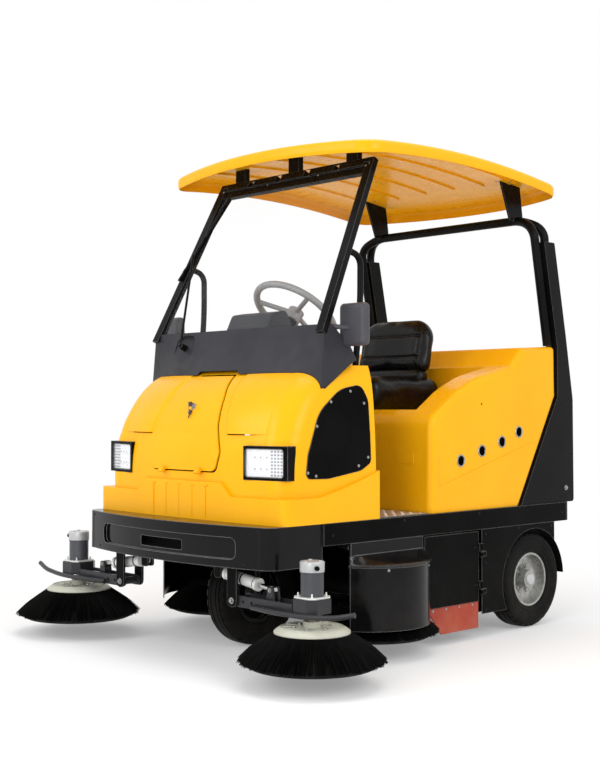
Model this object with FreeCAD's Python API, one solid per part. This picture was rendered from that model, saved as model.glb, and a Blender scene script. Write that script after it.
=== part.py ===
import FreeCAD, Part
import math
import os

os.makedirs("parts", exist_ok=True)

V = FreeCAD.Vector
X_AXIS = V(1, 0, 0)
Y_AXIS = V(0, 1, 0)
Z_AXIS = V(0, 0, 1)

# A compact ride-on road sweeper with a canopy, in millimetres.
# X points to the machine's left, Y to its rear and Z up; the origin lies on the ground.

# Clearances, stock thicknesses and the allowance of a cutting body
GAP = 0.3
RUN = 0.05
FREE = 6.0
SWING = 5.0
SHEET = 3.0
MOULD = 4.0
OVER = 1.0
FAR = 2000.0

# How far a round corner stays short of its sharp one, and the share of the shorter run that a tube's bend takes
ROUND_CUT = 1 - math.sqrt(0.5)
BEND_SHARE = 0.45

# Platform
DECK_TOP = 514.0
DECK_PLATE = 6.0
FASCIA_BOTTOM = 435.0
DECK_HALF = 553.0
DECK_FRONT = -545.0
DECK_REAR = 985.0
DECK_CORNER = 60.0
DECK_TURN_UP = 32.0
FLOOR_PLATE = 2.0
FLOOR_HALF = 535.0
FLOOR_FRONT = -246.0
FLOOR_REAR = 42.0

# Chassis rails and cross members
RAIL_X = 410.0
RAIL_WIDTH = 40.0
RAIL_HEIGHT = 60.0
RAIL_WALL = 4.0
RAIL_FRONT = -790.0
RAIL_REAR = DECK_REAR - DECK_TURN_UP - FREE
RAIL_INNER = RAIL_X - RAIL_WIDTH / 2
RAIL_OUTER = RAIL_X + RAIL_WIDTH / 2
RAIL_TOP = DECK_TOP - DECK_PLATE
RAIL_BOTTOM = RAIL_TOP - RAIL_HEIGHT

# Lashing eyes on the rear ends of the rails
LASH_RADIUS = 12.5
LASH_PLATE = 8.0
LASH_REACH = 30.0
LASH_Y = RAIL_REAR - LASH_REACH
LASH_Z = 412.0

# Front wheel, its fork and the steering head
WHEEL_RADIUS = 200.0
RIM_RADIUS = 118.0
RIM_WALL = 8.0
RIM_LIP = 9.0
TYRE_WIDTH = 100.0
TYRE_BEAD = RIM_RADIUS - 6.0
TYRE_BEAD_INSET = 8.0
SHOULDER_DROP = 14.0
SHOULDER_RUN = 24.0
FRONT_WHEEL_Y = -393.0
FRONT_AXLE_RADIUS = 10.0
FRONT_HUB_HALF = 55.0
FORK_GAP = 62.0
FORK_PLATE = 12.0
FORK_TOP_HALF = 45.0
FORK_FOOT_HALF = 24.0
FORK_BELOW_AXLE = 35.0
AXLE_NUT = 8.0
COLLAR = 6.0
CROWN_BOTTOM = 408.0
CROWN_THICK = 16.0
CROWN_TOP = CROWN_BOTTOM + CROWN_THICK
KINGPIN_RADIUS = 20.0
HEAD_WALL = 12.0
HEAD_HALF = 80.0
HEAD_REAR = 90.0
HEAD_PLATE = 10.0
HEAD_BOTTOM = CROWN_TOP + FREE

# Rims: hub, dished web and its place across the wheel
HUB_RADIUS = 38.0
WEB_THICK = 8.0
WEB_OUT = 12.0
DISH_RADIUS = 69.0
REAR_HUB_HALF = 40.0

# Rear wheels and drive axle
REAR_WHEEL_Y = 700.0
REAR_TRACK_INNER = 440.0
BEAM_RADIUS = 35.0
BEAM_END = REAR_TRACK_INNER - 16.0
STUB_END = REAR_TRACK_INNER + TYRE_WIDTH - 14.0
REAR_AXLE_RADIUS = 15.0
DRIVE_RADIUS = 90.0
DRIVE_HALF = 80.0
DRIVE_CHAMFER = 25.0
DRIVE_MOTOR_RADIUS = 75.0
DRIVE_MOTOR_END = 260.0
HANGER_PLATE = 12.0
HANGER_HALF = 45.0

# Front side brushes on their arms
BRUSH_X = 692.0
BRUSH_Y = -738.0
BRUSH_TIP_RADIUS = 257.0
BRUSH_TIP_Z = 60.0
BRUSH_TIP_HIGH = 75.0
TIP_BEVEL = 12.0
TIP_BAND = 80.0
BRISTLE_ROOT = 115.0
BRISTLE_BAND = 36.0
DISC_RADIUS = 129.0
DISC_BOTTOM = 159.0
DISC_SHOULDER = 182.0
DISC_TOP = 194.0
DISC_CROWN = 112.0
DISC_EDGE_ROUND = 6.0
DISC_CROWN_ROUND = 20.0
HUB_DISC = 30.0
HUB_RISE = 20.0
ARM_HINGE_X = 335.0
ARM_HINGE_Z = 246.0
ARM_PIN_RADIUS = 8.0
ARM_HUB = 6.0
ARM_HEIGHT = 40.0
ARM_PLATE = 8.0
ARM_HALF = 38.0
ARM_FLOOR_FROM = 60.0
ARM_HOLES = (385.0, 430.0)
ARM_HOLE_RADIUS = 6.0
LUG_PLAY = 2.0
LUG_HALF = 25.0
LUG_BELOW = 22.0
LUG_PLATE = 10.0
LUG_ACROSS = 30.0
LUG_TOP = RAIL_BOTTOM - LUG_PLATE
GEARBOX_HALF = 58.0
GEARBOX_BEVEL = 26.0
GEARBOX_BOTTOM = 242.0
GEARBOX_TOP = 290.0
MOTOR_RADIUS = 39.0
MOTOR_FLANGE = 6.0
FLANGE_HALF = 50.0
FLANGE_BEVEL = 16.0
MOTOR_TOP = 375.0
CAP_RIB = 2.0
CAP_TOP = 412.0
CAP_CHAMFER = 6.0
CAP_HOLE = 6.0
SHAFT_RADIUS = 11.0
GUARD_Z = 235.0
GUARD_RADIUS = 9.0
GUARD_FROM_X = 440.0
GUARD_PATH = ((570.0, 0.0, 0.0), (735.0, 0.0, 2.0), (850.0, 10.0, 12.0), (925.0, 28.0, 29.0))

# Actuator that lifts a front arm: its pivot on the frame and the arm's clevis
ACTUATOR_X = 225.0
ACTUATOR_Z = 335.0
CLEVIS_X = 500.0
CLEVIS_Z = 296.0
CLEVIS_FOOT = 24.0
CLEVIS_TOP = 12.0
CLEVIS_PLAY = 2.0
ACTUATOR_RADIUS = 21.0
ACTUATOR_BAND = 2.5
ACTUATOR_NECK = 28.0
ACTUATOR_BODY = 205.0
ACTUATOR_FLOOR = 40.0
ROD_RADIUS = 9.0
ROD_FROM = 60.0
EYE_RADIUS = 14.0
EYE_WIDTH = 14.0
EYE_PLAY = 1.5
PIN_RADIUS = 5.0

# Mid side brushes on their sliding plates, and their round shrouds
MID_X = 440.0
MID_Y = -173.0
MID_PLATE_HALF = 60.0
MID_PLATE_INNER = 50.0
MID_SLIDE_X = 362.0
MID_SLIDE_HALF = 25.0
GUIDE_WALL = 12.0
GUIDE_DEPTH = 14.0
GUIDE_BELOW = 40.0
SHROUD_Y = -200.0
SHROUD_RADIUS = 235.0
SHROUD_BOTTOM = 118.0
SHROUD_RIM = 357.0
SHROUD_TOP = 389.0
SHROUD_REAR = -12.0
SHROUD_LIP = 5.0
SHROUD_BACK = 4.0
SHROUD_RIDGE = 12.0

# Main roller and its housing
ROLLER_Y = 200.0
ROLLER_Z = 155.0
ROLLER_RADIUS = 140.0
ROLLER_HALF = 270.0
ROLLER_SHAFT = 12.0
ROLLER_ROOM = 15.0
HOUSING_HALF = 290.0
HOUSING_FRONT = 52.0
HOUSING_REAR = 360.0
HOUSING_BOTTOM = 70.0

# Side doors, flaps and wheel arch panels
SIDE_X = 552.0
DOOR_FRONT = -4.0
DOOR_REAR = 324.0
DOOR_BOTTOM = 150.0
DOOR_TOP = FASCIA_BOTTOM - FREE
DOOR_RIM = 16.0
HINGE_Y = 338.0
HINGE_RADIUS = 7.0
HINGE_PIN = 3.0
HINGE_HEIGHTS = (200.0, 350.0)
HINGE_LENGTH = 30.0
KNUCKLE_LENGTH = 20.0
KNUCKLE_DROP = 24.0
LEAF_REACH = 25.0
FLAP_THICK = 5.0
FLAP_FRONT = 10.0
FLAP_BOTTOM = 45.0
FLAP_SLANT = 85.0
ARCH_FRONT = DOOR_REAR + 25.0
ARCH_REAR = 847.0
ARCH_BOTTOM = 96.0
ARCH_FOOT = 160.0
ARCH_REAR_BOTTOM = 325.0
ARCH_GAP = 15.0

# Front bumper
BUMPER_BOTTOM = 367.0
BUMPER_NOSE = -860.0
BUMPER_CORNER_Y = -800.0
BUMPER_HALF = 545.0
BUMPER_TURN = 55.0
BUMPER_RECESS = 14.0
RECESS_HALF_LOW = 395.0
RECESS_FROM = 397.0
RECESS_TO = 472.0
SLOT_HALF = 123.0
SLOT_BOTTOM = 411.0
SLOT_TOP = 447.0
SLOT_CORNER = 8.0

# Front shell. A section gives its height, half width behind and in front, and the Y of its corner and nose.
SHELL_REAR = -262.0
LOWER_SECTIONS = (
    (DECK_TOP, 538.0, 520.0, -640.0, -735.0),
    (600.0, 539.0, 521.0, -642.0, -739.0),
    (700.0, 540.0, 522.0, -640.0, -740.0),
    (780.0, 538.0, 521.0, -622.0, -732.0),
    (829.0, 536.0, 518.0, -600.0, -719.0),
)
UPPER_SECTIONS = (
    (829.0, 536.0, 518.0, -600.0, -719.0),
    (885.0, 532.0, 513.0, -570.0, -702.0),
    (940.0, 528.0, 507.0, -530.0, -675.0),
    (1000.0, 521.0, 498.0, -478.0, -630.0),
    (1040.0, 513.0, 485.0, -430.0, -580.0),
    (1080.0, 500.0, 462.0, -370.0, -505.0),
)
SHELL_TOP = UPPER_SECTIONS[-1][0]
CORNER_TURN = (0.955, 0.52)
CORNER_END = (0.80, 0.80)
BULGE_FADE = 0.9
BULGE_STEP = 9.0
BULGE_FROM = 232.0
BULGE_LEAN = 68.0
BULGE_WIDTH = 14.0

# Skirt round the front shell's foot
SKIRT_HALF = 550.0
SKIRT_REAR = -252.0
SKIRT_NOSE = -752.0
SKIRT_CORNER_Y = -733.0
SKIRT_CORNER_X = 516.0
SKIRT_LEDGE = 606.0
SKIRT_RISE = 692.0
SKIRT_RISE_MID = (-434.0, 636.0)
SKIRT_RISE_FROM = -560.0
STEP_TOP = 654.0
STEP_HALF = 225.0
STEP_FOOT = 278.0
RIB_PITCH = 78.0
RIB_COUNT = 5
RIB_MIDDLE = -10.0
RIB_PROUD = 1.5
RIB_WIDTH = 4.0
RIB_BAR = 26.0
RIB_FOOT = 524.0
RIB_TOP = 642.0

# Black side panel on the front shell, (Y, Z, corner radius)
SIDE_PANEL = (
    (-608.0, 672.0, 22.0),
    (-596.0, 760.0, 60.0),
    (-535.0, 905.0, 160.0),
    (-420.0, 992.0, 160.0),
    (-318.0, 1010.0, 34.0),
    (-290.0, 952.0, 60.0),
    (-289.0, 722.0, 26.0),
    (-340.0, 694.0, 60.0),
    (-500.0, 670.0, 120.0),
)

# Front access door, (X, Z, corner radius) of its left half from the foot up
DOOR_OUTLINE = ((184.0, 692.0, 26.0), (203.0, 762.0, 40.0), (168.0, 850.0, 60.0), (143.0, 960.0, 60.0),
                (100.0, 1044.0, 10.0))
DOOR_PROUD = 6.0
DOOR_PIN_Y = -758.0
DOOR_PIN_Z = 688.0
DOOR_HINGES = (-107.0, 107.0)
DOOR_KNUCKLE = 7.0
DOOR_KNUCKLE_HALF = 12.0
DOOR_PIN = 3.0
DOOR_EAR = 6.0
DOOR_LEAF = 14.0

# Headlamps, turned with the shell's front
LAMP_HALF_WIDTH = 97.0
LAMP_BOTTOM = 668.0
LAMP_TOP = 789.0
LAMP_X = 430.0
LAMP_Y = -706.0
LAMP_TURN = 11.5
LAMP_PROUD = 9.0
LAMP_BEHIND = 40.0
LAMP_INNER_RIM = 7.0
LAMP_OUTER_RIM = 20.0
LAMP_EDGE_RIM = 10.0
LENS_SET_IN = 3.0
LENS_THICK = 6.0
LENS_CORNER = 12.0

# Windscreen plane, from its base line to its header
SCREEN_BASE_Y = -487.0
SCREEN_BASE_Z = 1235.0
SCREEN_HEAD_Y = -171.0
SCREEN_HEAD_Z = 1883.0
SCREEN_BASE_HALF = 502.0
SCREEN_HEAD_HALF = 450.0
PILLAR_WIDTH = 38.0
PILLAR_DEPTH = 26.0
PILLAR_FOOT = 40.0
HEADER_WIDTH = 66.0
HEADER_STEP = 32.0
HEADER_STEP_DEPTH = 8.0
PAD_HALF = 30.0
PAD_PLACES = (-330.0, 0.0, 330.0)
GLASS_THICK = 5.0
GLASS_DEPTH = 18.0
SCREEN_RISE = V(0, SCREEN_HEAD_Y - SCREEN_BASE_Y, SCREEN_HEAD_Z - SCREEN_BASE_Z)
SCREEN_LENGTH = SCREEN_RISE.Length
SCREEN_ANGLE = math.degrees(math.atan2(SCREEN_RISE.z, SCREEN_RISE.y))
SCREEN_SLOPE = SCREEN_RISE.y / SCREEN_RISE.z

# Wiper, drawn on the windscreen plane (X, up)
WIPER_X = -280.0
WIPER_UP = -75.0
WIPER_ARM_RADIUS = 5.0
WIPER_BLADE = ((-470.0, 240.0), (-340.0, 640.0))
WIPER_JOIN = 0.3
WIPER_PROUD = 14.0
WIPER_BOSS = 13.0
SCOOP_HALF = 62.0
SCOOP_LOW = -62.0
SCOOP_HIGH = 52.0
SCOOP_DEPTH = 16.0
SCOOP_CORNER = 40.0

# Cowl under the windscreen: a bowed front, cut to a line over the shell
COWL_HALF = 500.0
COWL_FOOT = 970.0
COWL_RIM = 1226.0
COWL_BOW = 106.0
COWL_TOP_BOW = 4.0
COWL_EDGE = 1050.0
COWL_TAB = 1064.0
COWL_TAB_HALF = 118.0
COWL_TIP = 984.0
COWL_TIP_RUN = 120.0
COWL_TIP_TURN = 70.0
COWL_SIDE = (
    (-640.0, COWL_FOOT),
    (-512.0, COWL_FOOT),
    (-502.0, 981.0),
    (-358.0, 1081.0),
    (-321.0, 1100.0),
    (-358.0, 1154.0),
    (-452.0, COWL_RIM),
    (-640.0, COWL_RIM),
)
COWL_REAR_WALL = 6.0

# Instrument pod on the cowl, (Y, Z, corner radius), and its half width
POD = ((-440.0, 1200.0, 0.0), (-395.0, 1292.0, 25.0), (-325.0, 1304.0, 22.0), (-290.0, 1240.0, 22.0),
       (-340.0, 1120.0, 0.0))
POD_HALF = 120.0

# Steering wheel and column
STEER_Y = -162.0
STEER_Z = 1306.0
STEER_RADIUS = 190.0
STEER_TILT = 38.7
STEER_GRIP = 14.0
STEER_BOSS = 34.0
STEER_SPOKE = 10.0
STEER_BOSS_DROP = 40.0
STEER_BOSS_RISE = 12.0
SPOKE_TURNS = (90, 210, 330)
COLUMN_RADIUS = 25.0
COLUMN_LENGTH = 560.0
COLUMN_FOOT_HALF = 34.0
STEER_HUB = V(0, STEER_Y, STEER_Z)
STEER_AXIS = V(0, math.sin(math.radians(STEER_TILT)), math.cos(math.radians(STEER_TILT)))

# Mirrors and grab rails
MIRROR_X = (472.0, 602.0)
MIRROR_Y = (-392.0, -350.0)
MIRROR_Z = (1148.0, 1306.0)
MIRROR_CORNER = 18.0
MIRROR_ARM = (V(520, -385, 1215), V(474, -455, 1222))
MIRROR_PLATE = (V(474, -455, 1180), V(474, -455, 1240))
MIRROR_ARM_RADIUS = 9.0
RAIL_BAR = 12.0
RAIL_PATH = (V(462, -337, 1512), V(462, -262, 1490), V(461, -262, 1300), V(459, -290, 1050))

# Rear body, (Y, Z, corner radius)
BODY_HALF = 540.0
BODY_FRONT = 48.0
BODY_OUTLINE = (
    (BODY_FRONT, DECK_TOP, 0.0),
    (54.0, 880.0, 70.0),
    (227.0, 994.0, 400.0),
    (354.0, 1048.0, 400.0),
    (568.0, 1097.0, 14.0),
    (650.0, 1176.0, 24.0),
    (880.0, 1188.0, 12.0),
    (884.0, 970.0, 20.0),
    (622.0, DECK_TOP, 0.0),
)
BODY_EDGE = 26.0
SEAT_BAY_HALF = 415.0
SEAT_BAY_FLOOR = 915.0
SEAT_BAY_REAR = 560.0
VENT_RADIUS = 22.5
VENTS = ((232.0, 713.0), (366.0, 749.0), (498.0, 783.0), (614.0, 822.0))
KEYHOLE = (366.0, 938.0)
KEYHOLE_RADIUS = 5.0
CREASE = ((97.0, 740.0), (97.0, 616.0), (700.0, 776.0))
CREASE_DEPTH = 1.5
CREASE_WIDTH = 4.0
PLATE_HALF_WIDTH = 45.0
PLATE_X = 405.0
PLATE_LOW = 703.0
PLATE_HIGH = 743.0

# Seat
SEAT_HALF = 225.0
SEAT_FRONT = 70.0
SEAT_BACK_Y = 470.0
SEAT_BEHIND = 60.0
CUSHION_TOP = 1055.0
CUSHION_ROUND = 45.0
BACK_THICK = 90.0
BACK_ROUND = 38.0
BACK_NARROW = 10.0
BACK_LEAN = 12.0
SEAT_TOP = 1335.0
BACK_LOSS = 10.0

# Battery
BATTERY_HALF = 380.0
BATTERY_FRONT = 90.0
BATTERY_REAR = 460.0
BATTERY_TOP = 780.0

# Hopper at the rear
HOPPER_HALF = 380.0
HOPPER_FRONT = 580.0
HOPPER_REAR = 962.0
HOPPER_BOTTOM = 310.0
HOPPER_TOP = 800.0
HOPPER_MOUTH_INSET = 40.0
HOPPER_MOUTH_LOW = 20.0
HOPPER_MOUTH_HIGH = 160.0
HANDLE_HALF = 110.0
HANDLE_RADIUS = 8.0
HANDLE_OUT = 20.0
HANDLE_Z = 700.0
RUNNER = 18.0
RUNNER_THICK = 8.0

# Rear posts, (Y, Z, corner radius), with the two tubes of the hoop standing in front of and in them
POST_PROUD = 5.0
POST_X = BODY_HALF + POST_PROUD
POST_THICK = 60.0
POST_OUTLINE = (
    (622.0, DECK_TOP, 0.0),
    (1004.0, DECK_TOP, 14.0),
    (1000.0, 960.0, 160.0),
    (950.0, 1235.0, 500.0),
    (868.0, 1636.0, 8.0),
    (794.0, 1636.0, 8.0),
    (886.0, 1187.0, 30.0),
    (886.0, 970.0, 20.0),
)
HOOP_TUBE = 19.0
HOOP_Z = 1738.0
HOOP_Y = 790.0
HOOP_SHOULDER = 1690.0
FRONT_TUBE_Y = 766.0
FRONT_TUBE_FOOT = (862.0, 1192.0)
REAR_TUBE_Y = 836.0
REAR_TUBE_SUNK = 80.0
HOOP_TURN_X = 90.0
POST_INNER = POST_X - POST_THICK
TUBE_X = POST_X - POST_THICK / 2

# Roof
ROOF_HALF = 587.0
ROOF_FRONT = -410.0
ROOF_FRONT_SIDE = -332.0
ROOF_REAR = 995.0
ROOF_REAR_SIDE = 827.0
ROOF_CORNER = 90.0
ROOF_RIM = 57.0
ROOF_CROWN = 30.0
ROOF_EDGE = 20.0
ROOF_PROFILE = ((-450.0, 1893.0), (170.0, 1928.0), (1035.0, 1836.0))
ROOF_BASE = 1600.0
ROOF_STATIONS = (-1.0, -0.6, 0.0, 0.6, 1.0)
ROOF_RIBS = (-420.0, -252.0, -84.0, 84.0, 252.0, 420.0)
ROOF_RIB_HALF = 16.0
ROOF_RIB_DEPTH = 7.0
BRACKET_X = 397.0
BRACKET_PLATE = 8.0
BRACKET = ((744.0, 0.0), (838.0, 0.0), (800.0, 260.0), (640.0, 260.0))


def box(x0, x1, y0, y1, z0, z1):
    return Part.makeBox(x1 - x0, y1 - y0, z1 - z0, V(x0, y0, z0))


def rounded_face(corners):
    """A flat face through corners, each a point with the radius that rounds it."""
    ends = []
    for index, (corner, radius) in enumerate(corners):
        if radius == 0:
            ends.append((corner, None, corner))
            continue
        back = (corners[index - 1][0] - corner).normalize()
        ahead = (corners[(index + 1) % len(corners)][0] - corner).normalize()
        half = back.getAngle(ahead) / 2
        reach = radius / math.tan(half)
        middle = corner + (back + ahead).normalize() * (radius / math.sin(half) - radius)
        ends.append((corner + back * reach, middle, corner + ahead * reach))
    edges = []
    for index, (first, middle, last) in enumerate(ends):
        if middle is not None:
            edges.append(Part.Arc(first, middle, last).toShape())
        following = ends[(index + 1) % len(ends)][0]
        edges.append(Part.LineSegment(last, following).toShape())
    return Part.Face(Part.Wire(edges))


def with_radius(outline):
    """Give a corner without a radius a sharp one."""
    return [(corner[0], corner[1], corner[2] if len(corner) > 2 else 0) for corner in outline]


def side_prism(outline, x0, x1):
    """Extrude a (Y, Z, radius) outline along X."""
    face = rounded_face([(V(x0, y, z), r) for y, z, r in with_radius(outline)])
    return face.extrude(V(x1 - x0, 0, 0))


def front_prism(outline, y0, y1):
    """Extrude an (X, Z, radius) outline along Y."""
    face = rounded_face([(V(x, y0, z), r) for x, z, r in with_radius(outline)])
    return face.extrude(V(0, y1 - y0, 0))


def plan_prism(outline, z0, z1):
    """Extrude an (X, Y, radius) outline along Z."""
    face = rounded_face([(V(x, y, z0), r) for x, y, r in with_radius(outline)])
    return face.extrude(V(0, 0, z1 - z0))


def bar(start, end, radius):
    run = end - start
    return Part.makeCylinder(radius, run.Length, start, run)


def disc(centre, radius, z0, z1):
    return Part.makeCylinder(radius, z1 - z0, V(centre[0], centre[1], z0))


def shaft_x(radius, x0, x1, y, z):
    return Part.makeCylinder(radius, x1 - x0, V(x0, y, z), X_AXIS)


def shaft_y(radius, x, y0, y1, z):
    return Part.makeCylinder(radius, y1 - y0, V(x, y0, z), Y_AXIS)


def revolved(profile, base, axis):
    """Turn an (r, h, radius) outline about an axis through base."""
    face = rounded_face([(V(r, 0, h), turn) for r, h, turn in with_radius(profile)])
    turned = face.revolve(V(), Z_AXIS, 360)
    turned.Placement = FreeCAD.Placement(base, FreeCAD.Rotation(Z_AXIS, axis))
    return turned


def mirrored(shape):
    return shape.mirror(V(), X_AXIS)


def flipped(point):
    return V(-point.x, point.y, point.z)


def fused(shapes):
    return shapes[0].fuse(shapes[1:]).removeSplitter()


def pair(shape):
    return Part.makeCompound([shape, mirrored(shape)])


def line(start, end):
    return Part.LineSegment(start, end).toShape()


def arc(start, middle, end):
    return Part.Arc(start, middle, end).toShape()


def tube(points, radius):
    """A round bar along straight runs joined by tangent arcs."""
    edges = []
    last = points[0]
    for before, corner, after in zip(points, points[1:], points[2:]):
        back = (before - corner).normalize()
        ahead = (after - corner).normalize()
        half = back.getAngle(ahead) / 2
        reach = BEND_SHARE * min((before - corner).Length, (after - corner).Length)
        bend = reach * math.tan(half)
        middle = corner + (back + ahead).normalize() * (reach / math.cos(half) - bend)
        edges.append(line(last, corner + back * reach))
        edges.append(arc(corner + back * reach, middle, corner + ahead * reach))
        last = corner + ahead * reach
    edges.append(line(last, points[-1]))
    ring = Part.Wire(Part.makeCircle(radius, points[0], points[1] - points[0]))
    return Part.Wire(edges).makePipeShell([ring], True, False)


def save(name, shape):
    shape.exportStep("parts/" + name + ".step")


def save_sides(name, left):
    save(name + "_left", left)
    save(name + "_right", mirrored(left))


# Deck: an open-bottomed tray with rounded rear corners
def deck_block(inset, z0, z1):
    half = DECK_HALF - inset
    rear = DECK_REAR - inset
    turn = DECK_CORNER - inset
    return plan_prism([(half, DECK_FRONT), (half, rear, turn), (-half, rear, turn), (-half, DECK_FRONT)], z0, z1)


def deck():
    outer = deck_block(0, FASCIA_BOTTOM, DECK_TOP)
    outline = [(DECK_FRONT, FASCIA_BOTTOM), (DECK_REAR, FASCIA_BOTTOM, DECK_TURN_UP),
               (DECK_REAR, DECK_TOP, DECK_TURN_UP), (DECK_FRONT, DECK_TOP)]
    outer = outer.common(side_prism(outline, -DECK_HALF, DECK_HALF))
    inner = deck_block(SHEET, FASCIA_BOTTOM - OVER, RAIL_TOP)
    outline = [(DECK_FRONT, FASCIA_BOTTOM - OVER), (DECK_REAR - SHEET, FASCIA_BOTTOM - OVER),
               (DECK_REAR - SHEET, RAIL_TOP, DECK_TURN_UP), (DECK_FRONT, RAIL_TOP)]
    inner = inner.common(side_prism(outline, -DECK_HALF, DECK_HALF))
    way = box(-HOPPER_HALF - FREE, HOPPER_HALF + FREE, HOPPER_FRONT - FREE, DECK_REAR + OVER,
              FASCIA_BOTTOM - OVER, DECK_TOP + OVER)
    tread = box(-FLOOR_HALF, FLOOR_HALF, FLOOR_FRONT, FLOOR_REAR, DECK_TOP - OVER, DECK_TOP + FLOOR_PLATE)
    return outer.cut(inner).cut(way).fuse(tread)


# Chassis
def rect_tube(x0, x1, y0, y1, along):
    outer = box(x0, x1, y0, y1, RAIL_BOTTOM, RAIL_TOP)
    low = RAIL_BOTTOM + RAIL_WALL
    high = RAIL_TOP - RAIL_WALL
    if along == "y":
        return outer.cut(box(x0 + RAIL_WALL, x1 - RAIL_WALL, y0, y1, low, high))
    return outer.cut(box(x0, x1, y0 + RAIL_WALL, y1 - RAIL_WALL, low, high))


CROSS_FRONTS = (
    RAIL_FRONT,
    FRONT_WHEEL_Y - HEAD_HALF - RAIL_WIDTH,
    FRONT_WHEEL_Y + HEAD_REAR,
    HOUSING_REAR + RAIL_WIDTH / 2,
    HOPPER_FRONT - 1.5 * RAIL_WIDTH,
)


def rail():
    """One long rail with the lashing eye at its rear end."""
    long_tube = rect_tube(RAIL_INNER, RAIL_OUTER, RAIL_FRONT, RAIL_REAR, "y")
    half = LASH_PLATE / 2
    eye = box(RAIL_X - half, RAIL_X + half, LASH_Y - LASH_REACH, LASH_Y + LASH_REACH, LASH_Z - LASH_REACH,
              RAIL_BOTTOM)
    return long_tube.fuse(eye.cut(shaft_x(LASH_RADIUS, RAIL_INNER, RAIL_OUTER, LASH_Y, LASH_Z)))


def cross_members():
    """The tubes between the rails, and the steering head between two of them."""
    pieces = [rect_tube(-RAIL_INNER, RAIL_INNER, y, y + RAIL_WIDTH, "x") for y in CROSS_FRONTS]
    plate = box(-HEAD_HALF, HEAD_HALF, FRONT_WHEEL_Y - HEAD_HALF, FRONT_WHEEL_Y + HEAD_REAR, RAIL_BOTTOM,
                RAIL_BOTTOM + HEAD_PLATE)
    head = disc((0, FRONT_WHEEL_Y), KINGPIN_RADIUS + HEAD_WALL, HEAD_BOTTOM, RAIL_TOP)
    bore = disc((0, FRONT_WHEEL_Y), KINGPIN_RADIUS + RUN, HEAD_BOTTOM - OVER, RAIL_TOP + OVER)
    pieces.append(plate.fuse(head).cut(bore))
    return Part.makeCompound(pieces)


def arm_lug():
    """Hinge lugs of a front arm, with the arm's pin, under the rail's front end."""
    lug_half = ARM_HALF + LUG_PLAY
    reach = lug_half + ARM_PLATE
    outline = [(ARM_HINGE_X - LUG_HALF, ARM_HINGE_Z - LUG_BELOW, LUG_BELOW),
               (ARM_HINGE_X + LUG_HALF, ARM_HINGE_Z - LUG_BELOW, LUG_BELOW),
               (ARM_HINGE_X + LUG_HALF, LUG_TOP), (ARM_HINGE_X - LUG_HALF, LUG_TOP)]
    pieces = [front_prism(outline, y, y + ARM_PLATE) for y in (BRUSH_Y - reach, BRUSH_Y + lug_half)]
    pieces.append(box(ARM_HINGE_X - LUG_HALF, RAIL_OUTER, BRUSH_Y - reach, BRUSH_Y + reach, LUG_TOP, RAIL_BOTTOM))
    pieces.append(shaft_y(ARM_PIN_RADIUS, ARM_HINGE_X, BRUSH_Y - reach, BRUSH_Y + reach, ARM_HINGE_Z))
    return fused(pieces)


def actuator_lug():
    """Pivot lugs of an actuator, with its pin, beside the arm's lugs."""
    half = EYE_WIDTH / 2 + OVER
    reach = half + ARM_PLATE
    outline = [(ACTUATOR_X - LUG_HALF, ACTUATOR_Z - LUG_BELOW, LUG_BELOW / 2),
               (ACTUATOR_X + EYE_RADIUS, ACTUATOR_Z - LUG_BELOW, LUG_BELOW / 2),
               (ACTUATOR_X + EYE_RADIUS, LUG_TOP), (ACTUATOR_X - LUG_HALF, LUG_TOP)]
    pieces = [front_prism(outline, y, y + ARM_PLATE) for y in (BRUSH_Y - reach, BRUSH_Y + half)]
    pieces.append(box(ACTUATOR_X - LUG_HALF, ARM_HINGE_X - LUG_HALF, BRUSH_Y - LUG_ACROSS, BRUSH_Y + LUG_ACROSS,
                      LUG_TOP, RAIL_BOTTOM))
    pieces.append(shaft_y(PIN_RADIUS, ACTUATOR_X, BRUSH_Y - reach, BRUSH_Y + reach, ACTUATOR_Z))
    return fused(pieces)


def mid_guide():
    """Channel under the rail in which the mid brush's plate slides."""
    low = GEARBOX_BOTTOM - GUIDE_BELOW
    back = MID_SLIDE_X - GUIDE_WALL
    half = MID_SLIDE_HALF + GUIDE_WALL
    head_bottom = RAIL_BOTTOM - ARM_PLATE
    channel = box(back, MID_SLIDE_X + GUIDE_DEPTH, MID_Y - half, MID_Y + half, low, RAIL_BOTTOM)
    head = box(back, RAIL_OUTER, MID_Y - half, MID_Y + half, head_bottom, RAIL_BOTTOM)
    way = box(MID_SLIDE_X - RUN, MID_SLIDE_X + GUIDE_DEPTH + OVER, MID_Y - MID_SLIDE_HALF - RUN,
              MID_Y + MID_SLIDE_HALF + RUN, low - OVER, head_bottom)
    return channel.cut(way).fuse(head)


def brush_lugs():
    """Everything under the rails that carries the brushes, on both sides."""
    return Part.makeCompound([pair(arm_lug()), pair(actuator_lug()), pair(mid_guide())])


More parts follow.
